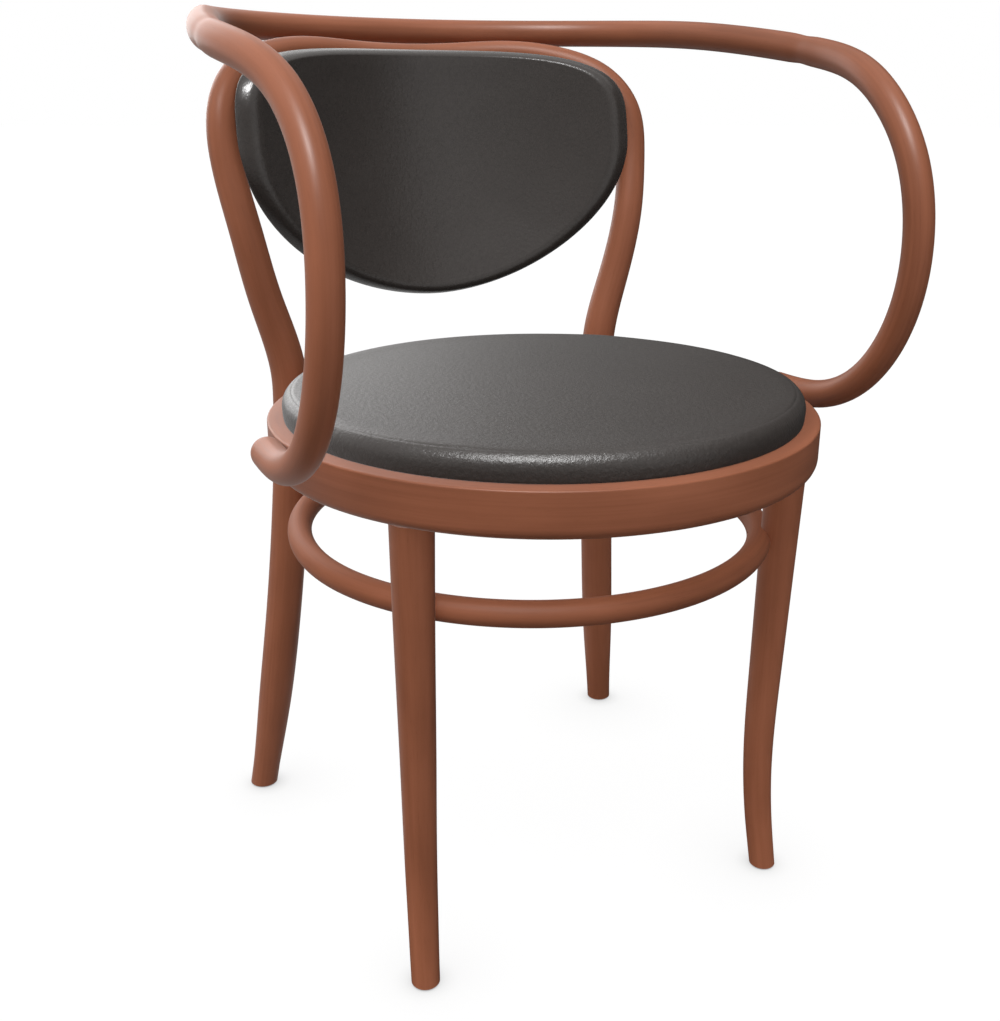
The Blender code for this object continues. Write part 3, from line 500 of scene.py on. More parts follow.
# %% Back hoop
HOOP_HALF = [(0.0, 241.42, 716.0, 11.0), (55.08, 236.32, 717.75, 11.1), (106.08, 222.04, 719.5, 11.25),
             (150.96, 200.67, 712.8, 11.6), (185.64, 176.82, 694.91, 12.1), (201.96, 160.22, 665.86, 12.8),
             (202.98, 151.15, 623.86, 13.5), (194.82, 141.41, 573.12, 14.1), (180.54, 141.68, 509.7, 14.9),
             (163.79, 141.68, 439.6, 16.0), (163.79, 141.68, 415.1, 16.0), (165.74, 143.85, 366.6, 16.325),
             (168.46, 146.85, 323.2, 16.615), (180.09, 159.72, 193.92, 16.784),
             (191.56, 172.42, 96.96, 15.978), (205.02, 187.31, 0.0, 13.0), (207.25, 189.79, -15.0, 13.0)]
HOOP_STOCK = (3.1, 0.004, 0.007)


def whole(half):
    """A half path from the middle outwards, with its mirror before it."""
    half = np.array(half)
    return np.concatenate([half[:0:-1] * (-1, 1, 1, 1), half])


def back_hoop():
    """Both ends are feet, so the foot is cut, the path turned round, and the other foot cut."""
    rows = flat_foot(smooth_path(whole(HOOP_HALF)))
    rows = flat_foot(rows[::-1])[::-1]
    grid, along, grain = rod_surface(rows, BACKWARD)
    grid = level_foot(grid, along)
    grid = level_foot(grid[::-1], along[::-1])[::-1]
    return capped(grid, grain + HOOP_STOCK)


points, grain, faces = back_hoop()
# Painted light: the hoop's right half is made a little paler.
hoop = add_piece("bent_back_hoop", points, faces, BEECH, ["back_hoop"], grain, (0.0, 0.09))

# %% [markdown]
# ## Arm bow
# The second long rod starts at the left side of the seat ring, curls forward and up into the arm, runs
# round behind the sitter as the back rail and ends at the right side in the same way. Its ends are
# rounded like a finger tip, so the path goes on through a dome of ever smaller circles.

# %% Arm bow
BOW_HALF = [(0.0, 255.58, 738.0, 12.0), (79.05, 244.98, 738.0, 12.0), (150.45, 215.13, 738.0, 12.0),
            (202.98, 159.46, 736.77, 12.0), (228.99, 84.76, 732.61, 12.0), (247.99, 8.49, 723.79, 12.0),
            (255.0, -59.58, 713.5, 12.0), (242.53, -138.03, 689.78, 12.0), (237.75, -189.65, 636.97, 12.0),
            (239.49, -204.58, 568.0, 12.0), (241.52, -188.36, 498.94, 12.0),
            (242.53, -150.88, 452.01, 12.0), (242.97, -106.36, 431.16, 12.25), (240.5, -51.58, 427.7, 12.5)]
BOW_STOCK, BOW_TIP = (7.3, -0.006, 0.013), 0.0001
BOW_MIDDLE = np.array((0.0, -0.03, 0.58))
DOME_STEPS = np.radians(np.arange(12.0, 90.0, 12.0))
WAIST_Y, WAIST_WIDTH, WAIST_DEPTH, WAIST_ABOVE = -0.0360, 0.0090, 0.0008, 0.65


def domed(rows):
    """Go on past the last row: at angle a the circle is radius * cos a, and radius * sin a further on."""
    way = unit(rows[-1, :3] - rows[-2, :3])
    radius = rows[-1, 3]
    further = rows[-1, :3] + radius * np.sin(DOME_STEPS)[:, None] * way
    return np.concatenate([rows, np.column_stack([further, radius * np.cos(DOME_STEPS)])])


def arm_bow():
    """The whole path with a dome at both ends; across points away from the middle of the bow. Where rail
    and arm were spliced, sanding left a faint waist: radius - depth * exp(-(distance / width)^2)."""
    rows = smooth_path(whole(BOW_HALF))
    waist = WAIST_DEPTH * np.exp(-((rows[:, 1] - WAIST_Y) / WAIST_WIDTH) ** 2)
    rows[:, 3] -= np.where(rows[:, 2] > WAIST_ABOVE, waist, 0.0)
    rows = domed(domed(rows)[::-1])[::-1]
    grid, along, grain = rod_surface(rows, rows[:, :3] - BOW_MIDDLE)
    points, grain, faces = capped(grid, grain + BOW_STOCK)
    points[-2:] = rows[[0, -1], :3] + np.array([-along[0], along[-1]]) * BOW_TIP
    return points, grain, faces


points, grain, faces = arm_bow()
# Painted light and shade: the bow's left end is made paler and its right end darker.
add_piece("bent_arm_bow", points, faces, BEECH, ["arm_bow"], grain, (0.15, -0.10))

# %% [markdown]
# ## Leg ring
# The stretcher is a rod bent into a ring, let into the front legs and set against the rear legs. Its
# plan is two half ovals of the same width. The joint of the ring, where the grain starts again, is put
# at the back.

# %% Leg ring
RING_MIDDLE_Y = -0.03958
LEG_RING_MIDDLE = np.array((0.0, RING_MIDDLE_Y + 0.0206, 0.3232))
LEG_RING_HALF_WIDTH, LEG_RING_FRONT, LEG_RING_REAR = 0.2000, 0.1980, 0.22057
LEG_RING_ROD, LEG_RING_STEPS = 0.0104, 280
LEG_RING_STOCK = (5.2, 0.009, -0.004)


def leg_ring():
    """Oval: x = half width * cos t, y = depth * sin t, with its own depth before and behind the middle."""
    turn = np.pi / 2 + turns(LEG_RING_STEPS)
    depth = np.where(np.sin(turn) > 0, LEG_RING_REAR, LEG_RING_FRONT)
    oval = np.column_stack([LEG_RING_HALF_WIDTH * np.cos(turn), depth * np.sin(turn), 0 * turn])
    rows = np.column_stack([oval + LEG_RING_MIDDLE, np.full(LEG_RING_STEPS, LEG_RING_ROD)])
    grid, _, grain = rod_surface(rows, oval, closed=True)
    faces = grid_faces(LEG_RING_STEPS, ROD_SIDES, True).tolist()
    return grid.reshape(-1, 3), grain.reshape(-1, 3) + LEG_RING_STOCK, faces


points, grain, faces = leg_ring()
# Painted shade: the stretcher is made darker along its right side.
stretcher = add_piece("bent_leg_ring", points, faces, DULL_BEECH, ["leg_ring"], grain,
                      (0.0, -0.14))

# %% [markdown]
# ## Seat ring
# A flat strip bent on edge: a level border on top, an upright outer face and a well rounded lower edge.
# Its section is a rectangle with a different round at each corner, turned about the ring's axis.

# %% Seat ring
RING_RADIUS, RING_INNER = 0.2280, 0.1820
RING_TOP, RING_BOTTOM = 0.4336, 0.3966
RING_STEPS, CORNER_POINTS = 288, 7
RING_STOCK = (11.0, 0.0, 0.0)
RING_CORNERS = [(RING_RADIUS, RING_BOTTOM, 0.0090, -90.0), (RING_RADIUS, RING_TOP, 0.0016, 0.0),
                (RING_INNER, RING_TOP, 0.0012, 90.0), (RING_INNER, RING_BOTTOM, 0.0020, 180.0)]


def ring_section():
    """Each corner is a quarter circle: its middle lies one round in from the corner on both axes."""
    corners = []
    for radius, height, round_by, start in RING_CORNERS:
        turn = np.radians(np.linspace(start, start + 90.0, CORNER_POINTS))
        arc = np.column_stack([np.cos(turn), np.sin(turn)])
        corners.append((radius, height) + round_by * (arc - np.sign(arc[CORNER_POINTS // 2])))
    return np.concatenate(corners)


def turned_ring(section, steps):
    """Point (i, j) = section(j) turned by angle i about the ring's axis; it closes both ways."""
    turn = np.pi / 2 - turns(steps)
    r, z = section[None, :, 0], section[None, :, 1]
    c, s = np.cos(turn)[:, None], np.sin(turn)[:, None]
    grid = np.stack([r * c, r * s + RING_MIDDLE_Y, z + 0 * c], axis=2)
    far = np.broadcast_to((np.pi / 2 - turn)[:, None] * RING_RADIUS, grid.shape[:2])
    return grid, np.stack([far, z + 0 * far, r + 0 * far], axis=2)


section = ring_section()
grid, grain = turned_ring(section, RING_STEPS)
faces = grid_faces(RING_STEPS, len(section), True).tolist()
ring = add_piece("bent_seat_ring", grid.reshape(-1, 3), faces, BEECH, ["seat_ring"],
                 grain.reshape(-1, 3) + RING_STOCK)

# %% [markdown]
# ## Screw holes
# Screws that hold the seat board, the stretcher and the back pad sit in sunk holes, which show from
# below and from behind. A hole could be modelled into each grid, but a cutter is simpler: cylinders from
# under each screw head outwards are taken away from the wood, and the cutter is thrown away.

# %% Screw holes
HOLE_RADIUS, HOLE_LENGTH, HOLE_SIDES = 0.0043, 0.0250, 32
SEAT_HOLES = [((187.939, 28.822, 408.6), (0.0, 0.0, -1.0)), ((68.404, -227.521, 408.6), (0.0, 0.0, -1.0))]
STRETCHER_HOLES = [((152.995, -141.636, 323.2), (-0.78023, 0.6255, 0.0)),
                   ((145.261, 127.817, 323.2), (-0.70337, -0.71082, 0.0))]
HOOP_HOLES = [((45.835, 239.743, 720.011), (0.09695, 0.54101, 0.83541))]


def cutter(holes):
    """One mesh of cylinders, each from a point in millimetres along its way, and their mirrors."""
    step = np.arange(HOLE_SIDES)
    points, faces = [], []
    for side in (1, -1):
        for start, way in holes:
            rows = np.array((start, start), float) / 1000.0
            rows[1] += np.array(way) * HOLE_LENGTH
            frame_of = Vector(way).to_track_quat("Z", "Y").to_matrix()
            rim = circle(HOLE_SIDES) * HOLE_RADIUS @ np.array(frame_of).T
            tube = (rows[:, None] + rim).reshape(-1, 3) * (side, 1, 1)
            first = len(points) * 2 * HOLE_SIDES
            quads = grid_faces(2, HOLE_SIDES)
            ends = np.stack([step[::-1], HOLE_SIDES + step])
            points.append(tube)
            faces += [(first + face[::side]).tolist() for face in (*quads, *ends)]
    return placed("cutter", mesh_of("cutter", np.concatenate(points), faces))


def drill(piece, holes):
    """Take the cutter away from a piece and keep the result as its mesh."""
    tool = cutter(holes)
    cut = piece.modifiers.new("holes", "BOOLEAN")
    cut.object = tool
    cut.solver = "EXACT"
    ready = piece.evaluated_get(bpy.context.evaluated_depsgraph_get())
    drilled = bpy.data.meshes.new_from_object(ready)
    piece.modifiers.remove(cut)
    before = len(piece.data.polygons)
    piece.data = drilled
    piece.data.set_sharp_from_angle(angle=np.radians(SHARP))
    bpy.data.objects.remove(tool)
    print(piece.name, "has", 2 * len(holes), "holes, faces", before, "to", len(drilled.polygons))


drill(ring, SEAT_HOLES)
drill(stretcher, STRETCHER_HOLES)
drill(hoop, HOOP_HOLES)

# %% [markdown]
# ## Pads
# Each pad is leather drawn over foam on a board: a top panel, a rim round its side, and a seam where
# they meet. A round grid with a pole in its middle would pinch, so the panels use square rings bent
# into circles, which keeps the cells alike.

# %% Pad grid
SEAM_GAPS = np.array((0.0, 0.6, 1.3, 2.2, 3.4, 5.0, 7.5, 10.5, 14.0)) / 1000.0


def square_rings(count):
    """Ring k of a square grid holds 8k points; bent into a circle they stand at even angles. Returns each
    point's ring, its angle, the quads, and the outer ring in order of angle."""
    a, b = np.meshgrid(np.arange(-count, count + 1), np.arange(-count, count + 1), indexing="ij")
    ring = np.maximum(abs(a), abs(b))
    part = np.where(ring == 0, 1, ring)
    quarter = np.pi / 4
    turn = np.select([(a == ring) & (b > -ring), (b == ring) & (a > -ring), (a == -ring) & (b > -ring)],
                     [quarter * b / part, np.pi / 2 - quarter * a / part, np.pi - quarter * b / part],
                     -np.pi / 2 + quarter * a / part)
    size = 2 * count + 1
    quads = np.roll(grid_faces(size, size, False, False)[:, ::-1], 1, axis=1)
    edge = np.flatnonzero(ring.ravel() == count)
    turn = np.mod(turn.ravel(), 2 * np.pi)
    return ring.ravel(), turn, quads, edge[np.argsort(turn[edge])]


def seam_distance(ring, count, reach):
    """How far each ring lies inside the seam: close rows beside it, then even ones to the middle."""
    even = np.linspace(SEAM_GAPS[-1], reach, count - len(SEAM_GAPS) + 2)[1:]
    return np.concatenate([SEAM_GAPS, even])[count - ring]


def roll_turns(seam, wide, tall):
    """Angles on a quarter ellipse at the seam's distances, read from its length, and at its end."""
    turn = np.linspace(seam, 0.0, 400)
    length = run_of(np.column_stack([wide * np.cos(turn), tall * np.sin(turn)]))
    gaps = np.append(SEAM_GAPS[1:][SEAM_GAPS[1:] < length[-1] - 0.001], length[-1])
    return np.interp(gaps, length, turn), gaps


print("rows beside a seam at", (1000 * SEAM_GAPS).round(1).tolist(), "mm")

# %% Pad mesh


def pad_mesh(top, rows, base, quads, edge):
    """Join the top panel, the rows of the rim and the base panel, which share the panels' outer rings."""
    count = len(edge)
    start = len(top)
    row_ids = np.concatenate([edge[None], start + np.arange(len(rows) * count).reshape(len(rows), count)])
    base_ids = np.zeros(len(top), int)
    inner = np.setdiff1d(np.arange(len(top)), edge)
    base_ids[inner] = start + len(rows) * count + np.arange(len(inner))
    base_ids[edge] = row_ids[-1]
    after = np.roll(row_ids, -1, axis=1)
    rim = np.stack([row_ids[:-1], row_ids[1:], after[1:], after[:-1]], axis=-1).reshape(-1, 4)
    points = np.concatenate([top, rows.reshape(-1, 3), base[inner]])
    return points, quads.tolist() + rim.tolist() + base_ids[quads[:, ::-1]].tolist(), row_ids


def held_and_gaps(top_gaps, rim_gaps, points, row_ids, free_rows):
    """Points that the seam, the foot and the board hold, and every point's distance from the seam."""
    free = np.concatenate([np.flatnonzero(top_gaps > 0), row_ids[1:free_rows + 1].ravel()])
    gaps = np.full(len(points), 1.0)
    gaps[:len(top_gaps)] = top_gaps
    gaps[row_ids[1:len(rim_gaps) + 1]] = rim_gaps[:, None]
    return np.setdiff1d(np.arange(len(points)), free), gaps


print("pads are a top panel, a rim and a base panel")

# %% [markdown]
# ## Swelling the pads
# Blender's cloth blows a pad up with air pressure, as foam pushes leather out. Left alone it would ripple
# and grow too far, so each point's move is capped, evened out over its neighbours and then kept in the
# mesh, and the cloth modifier is taken off again.

# %% Swelling
SWELL_FRAMES, EVEN_ROUNDS = 20, 60
CLOTH_SETTINGS = {"quality": 8, "mass": 0.3, "tension_stiffness": 160.0, "compression_stiffness": 160.0,
                  "shear_stiffness": 80.0, "bending_stiffness": 25.0, "air_damping": 8.0,
                  "shrink_min": 0.004, "use_pressure": True, "vertex_group_mass": "sewn"}


def read_points(mesh, field="vertices", name="co"):
    """All points of a mesh, or its normals, as an array."""
    flat = np.zeros(len(mesh.vertices) * 3, np.float32)
    getattr(mesh, field).foreach_get(name, flat)
    return flat.reshape(-1, 3).astype(float)


def evened(mesh, moved, held):
    """Foam lets no small ripples stand: each point's move becomes the mean of its neighbours' moves, many
    times over, while held points stay where they are."""
    ends = np.zeros(2 * len(mesh.edges), np.int32)
    mesh.edges.foreach_get("vertices", ends)
    a, b = ends.reshape(-1, 2).T
    count = np.bincount(ends, minlength=len(moved))[:, None]
    for _ in range(EVEN_ROUNDS):
        total = np.zeros_like(moved)
        np.add.at(total, a, moved[b])
        np.add.at(total, b, moved[a])
        moved = 0.5 * moved + 0.5 * total / count
        moved[held] = 0.0
    return moved


def swell(piece, held, pressure, cap, share=1.0):
    """Blow a pad up with Blender's cloth: held points stay, the rest move by their share of it, and by the
    cap at most."""
    rest = read_points(piece.data)
    sewn = piece.vertex_groups.new(name="sewn")
    sewn.add(held.tolist(), 1.0, "REPLACE")
    cloth = piece.modifiers.new("swell", "CLOTH")
    for key, value in CLOTH_SETTINGS.items():
        setattr(cloth.settings, key, value)
    cloth.settings.uniform_pressure_force = pressure
    cloth.settings.effector_weights.gravity = 0.0
    cloth.collision_settings.use_collision = False
    cloth.point_cache.frame_end = SWELL_FRAMES
    for number in range(1, SWELL_FRAMES + 1):
        scene.frame_set(number)
    blown = piece.evaluated_get(bpy.context.evaluated_depsgraph_get()).to_mesh()
    moved = read_points(blown) - rest
    piece.modifiers.remove(cloth)
    scene.frame_set(1)
    far = np.linalg.norm(moved, axis=1, keepdims=True)
    moved *= share * np.minimum(1.0, cap / np.maximum(far, 1e-9))
    moved = evened(piece.data, moved, held)
    piece.data.vertices.foreach_set("co", (rest + moved).astype(np.float32).ravel())
    piece.data.update()
    most, mean = 1000 * float(far.max()), 1000 * float(far.mean())
    print(piece.name, "moves by", round(most, 2), "mm at most, mean", round(mean, 2))


print("a pad swells for", SWELL_FRAMES, "frames")

# %% Seam and finer level


def press_seam(piece, gaps, depth, width):
    """Draw the seam in along the normal by depth * exp(-(gap / width)^2)."""
    normals = read_points(piece.data, "vertex_normals", "vector")
    inward = depth * np.exp(-(gaps / width) ** 2)[:, None] * normals
    piece.data.vertices.foreach_set("co", (read_points(piece.data) - inward).astype(np.float32).ravel())
    piece.data.update()
    print(piece.name, "has a seam", depth * 1000, "mm deep")


def refine(piece):
    """Add one finer level, which rounds the panels and the rim."""
    smooth = piece.modifiers.new("smooth", "SUBSURF")
    smooth.levels = smooth.render_levels = 1


print("a seam is drawn in before the finer level")

# %% [markdown]
# ## Seat pad
# The pad lies on the ring and leaves a level border of wood round it. Its top is nearly flat, it rolls
# over to the side, and a seam runs round the roll. Below, the leather turns in under the board, so the
# pad is open there for the board and closed above it.

# %% Seat pad
PAD_SEAT = 0.4339
PAD_FOOT, PAD_WIDEST, PAD_EDGE = 0.2147, 0.2160, 0.1910
PAD_WIDEST_HEIGHT, PAD_EDGE_HEIGHT, PAD_CROWN_HEIGHT = 0.0108, 0.0253, 0.0320
PAD_SEAM = np.radians(47.5)
PAD_RINGS = 26
PAD_SLACK, PAD_SLACK_REACH = 0.0010, 0.03
PAD_PRESSURE, PAD_CAP = 4.0, 0.003
SEAM_DEPTH, SEAM_WIDTH = 0.0011, 0.0014
PAD_UNDER = np.array([(0.2139, 0.0), (0.2060, 0.0), (0.2060, 0.0015), (0.2131, 0.0015), (0.2131, 0.0105)])


def seat_top(radius):
    """Height over the ring: a shallow dome inside the edge radius, then a quarter ellipse down the roll."""
    dome = PAD_EDGE_HEIGHT + (PAD_CROWN_HEIGHT - PAD_EDGE_HEIGHT) * (1 - (radius / PAD_EDGE) ** 2)
    out = np.clip((radius - PAD_EDGE) / (PAD_WIDEST - PAD_EDGE), 0.0, 1.0)
    roll = PAD_WIDEST_HEIGHT + (PAD_EDGE_HEIGHT - PAD_WIDEST_HEIGHT) * np.sqrt(1 - out ** 2)
    return np.where(radius < PAD_EDGE, dome, roll)


def seat_pad():
    """The top panel from the seam inwards, the roll and the side down to the foot, the leather turned in
    under the board, and a flat base over the board."""
    ring, turn, quads, edge = square_rings(PAD_RINGS)
    wide, tall = PAD_WIDEST - PAD_EDGE, PAD_EDGE_HEIGHT - PAD_WIDEST_HEIGHT
    seam = PAD_EDGE + wide * np.cos(PAD_SEAM)
    gaps = seam_distance(ring, PAD_RINGS, seam)
    radius = seam - gaps
    height = PAD_SEAT + seat_top(radius) - PAD_SLACK * np.clip(gaps / PAD_SLACK_REACH, 0.0, 1.0)
    c, s = np.cos(turn), np.sin(turn)
    top = np.column_stack([radius * c, radius * s + RING_MIDDLE_Y, height])
    angle, rim_gaps = roll_turns(PAD_SEAM, wide, tall)
    roll = np.column_stack([PAD_EDGE + wide * np.cos(angle), PAD_WIDEST_HEIGHT + tall * np.sin(angle)])
    down = np.linspace(1.0, 0.0, 5)[1:, None]
    bulge = PAD_FOOT + (PAD_WIDEST - PAD_FOOT) * np.sin(down * np.pi / 2)
    side = np.hstack([bulge, down * PAD_WIDEST_HEIGHT])
    r, z = np.concatenate([roll, side, PAD_UNDER]).T[:, :, None]
    rows = np.stack([r * c[edge], r * s[edge] + RING_MIDDLE_Y, PAD_SEAT + z + 0 * c[edge]], axis=2)
    flat = PAD_UNDER[-1, 0] * ring / PAD_RINGS
    base = np.column_stack([flat * c, flat * s + RING_MIDDLE_Y, 0 * c + PAD_SEAT + PAD_UNDER[-1, 1]])
    points, faces, row_ids = pad_mesh(top, rows, base, quads, edge)
    return points, faces, *held_and_gaps(gaps, rim_gaps, points, row_ids, len(roll) + len(side) - 1)


points, faces, held, gaps = seat_pad()
seat_leather = add_piece("seat_pad_leather", points, faces, SEAT_LEATHER,
                         ["seat_cover", "seat_foam"], smooth=70.0)
swell(seat_leather, held, PAD_PRESSURE, PAD_CAP)
press_seam(seat_leather, gaps, SEAM_DEPTH, SEAM_WIDTH)
refine(seat_leather)

# %% [markdown]
# ## Back pad
# The back pad is a shield with a nearly straight top and a deep round chin, bent round the sitter with
# the hoop behind it. A point is given by its place across, its height and how far it stands in front of
# the hoop; one function bends that into the chair's own frame.

# %% Back surface
BACK_PLAN_RADIUS = 0.300
BACK_MIDDLE_Y = 0.2810 + RING_MIDDLE_Y
BACK_UPRIGHT, BACK_LEAN = 0.7100, 1.15
SHIELD_HALF_WIDTH, SHIELD_WIDEST = 0.2045, 0.6406
SHIELD_RISE, SHIELD_FALL = 0.0806, 0.1428
SHIELD_TOP_POWER, SHIELD_LOW_POWER = 4.1, 1.9
SHIELD_MIDDLE = np.array((0.0, SHIELD_WIDEST))
OUTLINE_POINTS, OUTLINE_STEP = 2881, 0.003


def on_back(place, forward):
    """Bend round the sitter: x = across * k, y = middle(height) - R + sqrt(R^2 - across^2) * k, with
    k = 1 - forward / R, where the middle leans forward below the upright height."""
    across, height = place[:, 0], place[:, 1]
    share = 1 - forward / BACK_PLAN_RADIUS
    middle = BACK_MIDDLE_Y - BACK_LEAN * np.maximum(0.0, BACK_UPRIGHT - height) ** 2
    y = middle - BACK_PLAN_RADIUS + np.sqrt(BACK_PLAN_RADIUS ** 2 - across ** 2) * share
    return np.column_stack([across * share, y, height])


def shield(turn, inset):
    """Outline: |cos|^(2/p) across and |sin|^(2/p) up or down, with a squarer power above than below, moved
    inwards by the inset."""
    fine = np.linspace(0.0, 2 * np.pi, OUTLINE_POINTS)
    c, s = np.cos(fine), np.sin(fine)
    power = 2 / np.where(s > 0, SHIELD_TOP_POWER, SHIELD_LOW_POWER)
    tall = np.where(s > 0, SHIELD_RISE, SHIELD_FALL)
    rim = np.column_stack([SHIELD_HALF_WIDTH * np.sign(c) * abs(c) ** power,
                           SHIELD_WIDEST + tall * np.sign(s) * abs(s) ** power])
    rim = rim[np.diff(run_of(rim), prepend=-1.0) > 1e-6]
    length = run_of(rim)
    at = turn / (2 * np.pi) * length[-1]
    even, ahead, behind = (np.column_stack([np.interp((at + step) % length[-1], length, k) for k in rim.T])
                           for step in (0.0, OUTLINE_STEP, -OUTLINE_STEP))
    run = ahead - behind
    return even + unit(np.column_stack([-run[:, 1], run[:, 0]])) * np.asarray(inset)[..., None]


def inside(turn, inset, near):
    """Points of the panel within the outline, at a share of the way from the shield's middle."""
    return SHIELD_MIDDLE + (shield(turn, inset) - SHIELD_MIDDLE) * near[:, None]


print("shield", 2 * SHIELD_HALF_WIDTH, "m wide before it is bent")

# %% [markdown]
# ## Leather of the back pad
# The front is nearly flat with a full roll at its sides and a tight one along the top. The roll is a
# quarter ellipse carried round the shield, and only the panel inside it is blown up.

# %% Back pad
BACK_REAR, BACK_WIDEST, BACK_SHOULDER = 0.0137, 0.0157, 0.0325
BACK_ROLL, BACK_CROWN = 0.0135, 0.0022
BACK_RINGS, BACK_REACH = 24, 0.13
BACK_SLACK, BACK_CAP = 0.0010, 0.002
BACK_EASE, BACK_TOP_TIGHT = 0.05, 0.5
BACK_UNDER = ((0.0003, 0.0145), (0.0015, BACK_REAR), (0.0048, BACK_REAR), (0.0048, 0.0204))


def eased(gaps):
    """Rises from 0 at the roll to 1 further in."""
    return blend(gaps / BACK_EASE)


def tightened(turn):
    """How wide the roll is at each place: whole below, and narrower along the top by a level blend."""
    return 1 - BACK_TOP_TIGHT * blend(2 * (shield(turn, 0.0)[:, 1] - SHIELD_WIDEST) / SHIELD_RISE - 1)


def back_pad():
    """The front panel from the seam on the shoulder inwards, the roll to the widest place, the rear edge,
    and a flat base on the front of the board."""
    ring, turn, quads, edge = square_rings(BACK_RINGS)
    tall = BACK_SHOULDER - BACK_WIDEST
    gaps = seam_distance(ring, BACK_RINGS, BACK_REACH)
    near = 1 - gaps / BACK_REACH
    flat = inside(turn, BACK_ROLL * tightened(turn), near)
    forward = BACK_SHOULDER + BACK_CROWN * (1 - near ** 2) - BACK_SLACK * eased(gaps)
    angle, rim_gaps = roll_turns(np.pi / 2, BACK_ROLL, tall)
    stations = [*zip(BACK_ROLL * (1 - np.cos(angle)), BACK_WIDEST + tall * np.sin(angle)), *BACK_UNDER]
    width = tightened(turn[edge])
    rows = np.stack([on_back(shield(turn[edge], inset * width), ahead) for inset, ahead in stations])
    inset, ahead = BACK_UNDER[-1]
    base = on_back(inside(turn, inset * tightened(turn), ring / BACK_RINGS), ahead)
    points, faces, row_ids = pad_mesh(on_back(flat, forward), rows, base, quads, edge)
    return points, faces, *held_and_gaps(gaps, rim_gaps, points, row_ids, 0)


points, faces, held, gaps = back_pad()
back_leather = add_piece("back_pad_leather", points, faces, LEATHER,
                         ["back_cover", "back_foam"], smooth=70.0)
swell(back_leather, held, PAD_PRESSURE, BACK_CAP, eased(gaps)[:, None])
refine(back_leather)

# %% [markdown]
# ## Rear panel of the back
# Behind, a flat leather panel covers the board inside the hoop. It is a thin shield with a soft edge.

# %% Rear panel
PANEL_RINGS, PANEL_CROWD = 20, 0.8
PANEL_FRONT, PANEL_REAR = 0.0134, 0.0122
PANEL_INSET, PANEL_ROUND = 0.0036, 0.0006


def rear_panel():
    """Front face, rounded edge and rear face of a sheet on the board."""
    ring, turn, quads, edge = square_rings(PANEL_RINGS)
    flat = inside(turn, PANEL_INSET + PANEL_ROUND, (ring / PANEL_RINGS) ** PANEL_CROWD)
    step = (PANEL_FRONT - PANEL_REAR) / 4
    stations = ((PANEL_INSET, PANEL_FRONT - step), (PANEL_INSET, PANEL_REAR + step),
                (PANEL_INSET + PANEL_ROUND, PANEL_REAR))
    rows = np.stack([on_back(shield(turn[edge], inset), ahead) for inset, ahead in stations])
    return pad_mesh(on_back(flat, PANEL_FRONT), rows, on_back(flat, PANEL_REAR), quads, edge)


points, faces, _ = rear_panel()
panel = add_piece("back_panel_leather", points, faces, LEATHER, ["back_panel"], smooth=60.0)

# %% [markdown]
# ## Cloth under the seat
# A thin black cloth hides the board from below. It is stapled tight round its edge and hangs a little in
# the middle, too little for a simulation to show, so its bowl and its faint ripple are written as a formula.

# %% Dust cloth
DUST_RADIUS = 0.1900
DUST_TOP, DUST_THICK = 0.4354, 0.0008
DUST_SAG, DUST_BOWL = 0.0016, 0.88
DUST_RIPPLE, DUST_WAVES, DUST_CALM = 0.0003, 9, 0.9
DUST_RINGS = 22


def dust_cloth():
    """Two faces a cloth's thickness apart, lower in the middle by a shallow bowl and a faint ripple."""
    ring, turn, quads, edge = square_rings(DUST_RINGS)
    share = ring / DUST_RINGS
    bowl = DUST_SAG * np.clip(1 - (share / DUST_BOWL) ** 2, 0.0, 1.0)
    ripple = DUST_RIPPLE * np.sin(DUST_WAVES * turn) * share ** 2 * np.clip(1 - share / DUST_CALM, 0.0, 1.0)
    radius = DUST_RADIUS * share
    flat = np.column_stack([radius * np.cos(turn), radius * np.sin(turn) + RING_MIDDLE_Y])
    top = np.column_stack([flat, DUST_TOP - bowl + ripple])
    low = np.column_stack([flat, DUST_TOP - bowl + ripple - DUST_THICK])
    return pad_mesh(top, low[edge][None], low, quads, edge)


points, faces, _ = dust_cloth()
under = add_piece("seat_dust_cloth_sheet", points, faces, CLOTH, ["seat_dust_cloth"])

# %% [markdown]
# ## Glides
# Each foot stands on a small moulded glide that sits in a recess of the wood. A turned profile with a
# rounded lower edge is enough, placed by the box of its node.

# %% Glides
GLIDE_RADIUS, GLIDE_HEIGHT, GLIDE_ROUND, GLIDE_EDGE = 0.0095, 0.0040, 0.0012, 0.0004
GLIDE_SIDES = 48


def glide(node):
    """A turned disc: up the rounded lower edge and the side, closed by a fan below and above."""
    low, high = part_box(node)
    arc = np.radians(np.linspace(-90.0, 0.0, 6))
    core = GLIDE_RADIUS - GLIDE_ROUND
    r = np.concatenate([core + GLIDE_ROUND * np.cos(arc), [GLIDE_RADIUS, GLIDE_RADIUS - GLIDE_EDGE]])
    z = np.concatenate([GLIDE_ROUND + GLIDE_ROUND * np.sin(arc), [GLIDE_HEIGHT - GLIDE_EDGE, GLIDE_HEIGHT]])
    r, z = r[:, None], z[:, None]
    turn = turns(GLIDE_SIDES)
    x, y = (low.x + high.x) / 2, (low.y + high.y) / 2
    grid = np.stack([r * np.cos(turn) + x, r * np.sin(turn) + y, z + 0 * turn], axis=2)
    return capped(grid, grid)


for node in ("front_glide_left", "front_glide_right", "rear_glide_left", "rear_glide_right"):
    points, _, faces = glide(node)
    add_piece("moulded_" + node, points, faces, PLASTIC, [node])

# %% [markdown]
# ## Floor
# The picture has a white ground with a faint grey shade round each foot. A plain white floor would need
# so much light that the chair bleached. So the floor glows where it is seen, fades near a foot, and sends
# up to the chair the light of a grey floor.

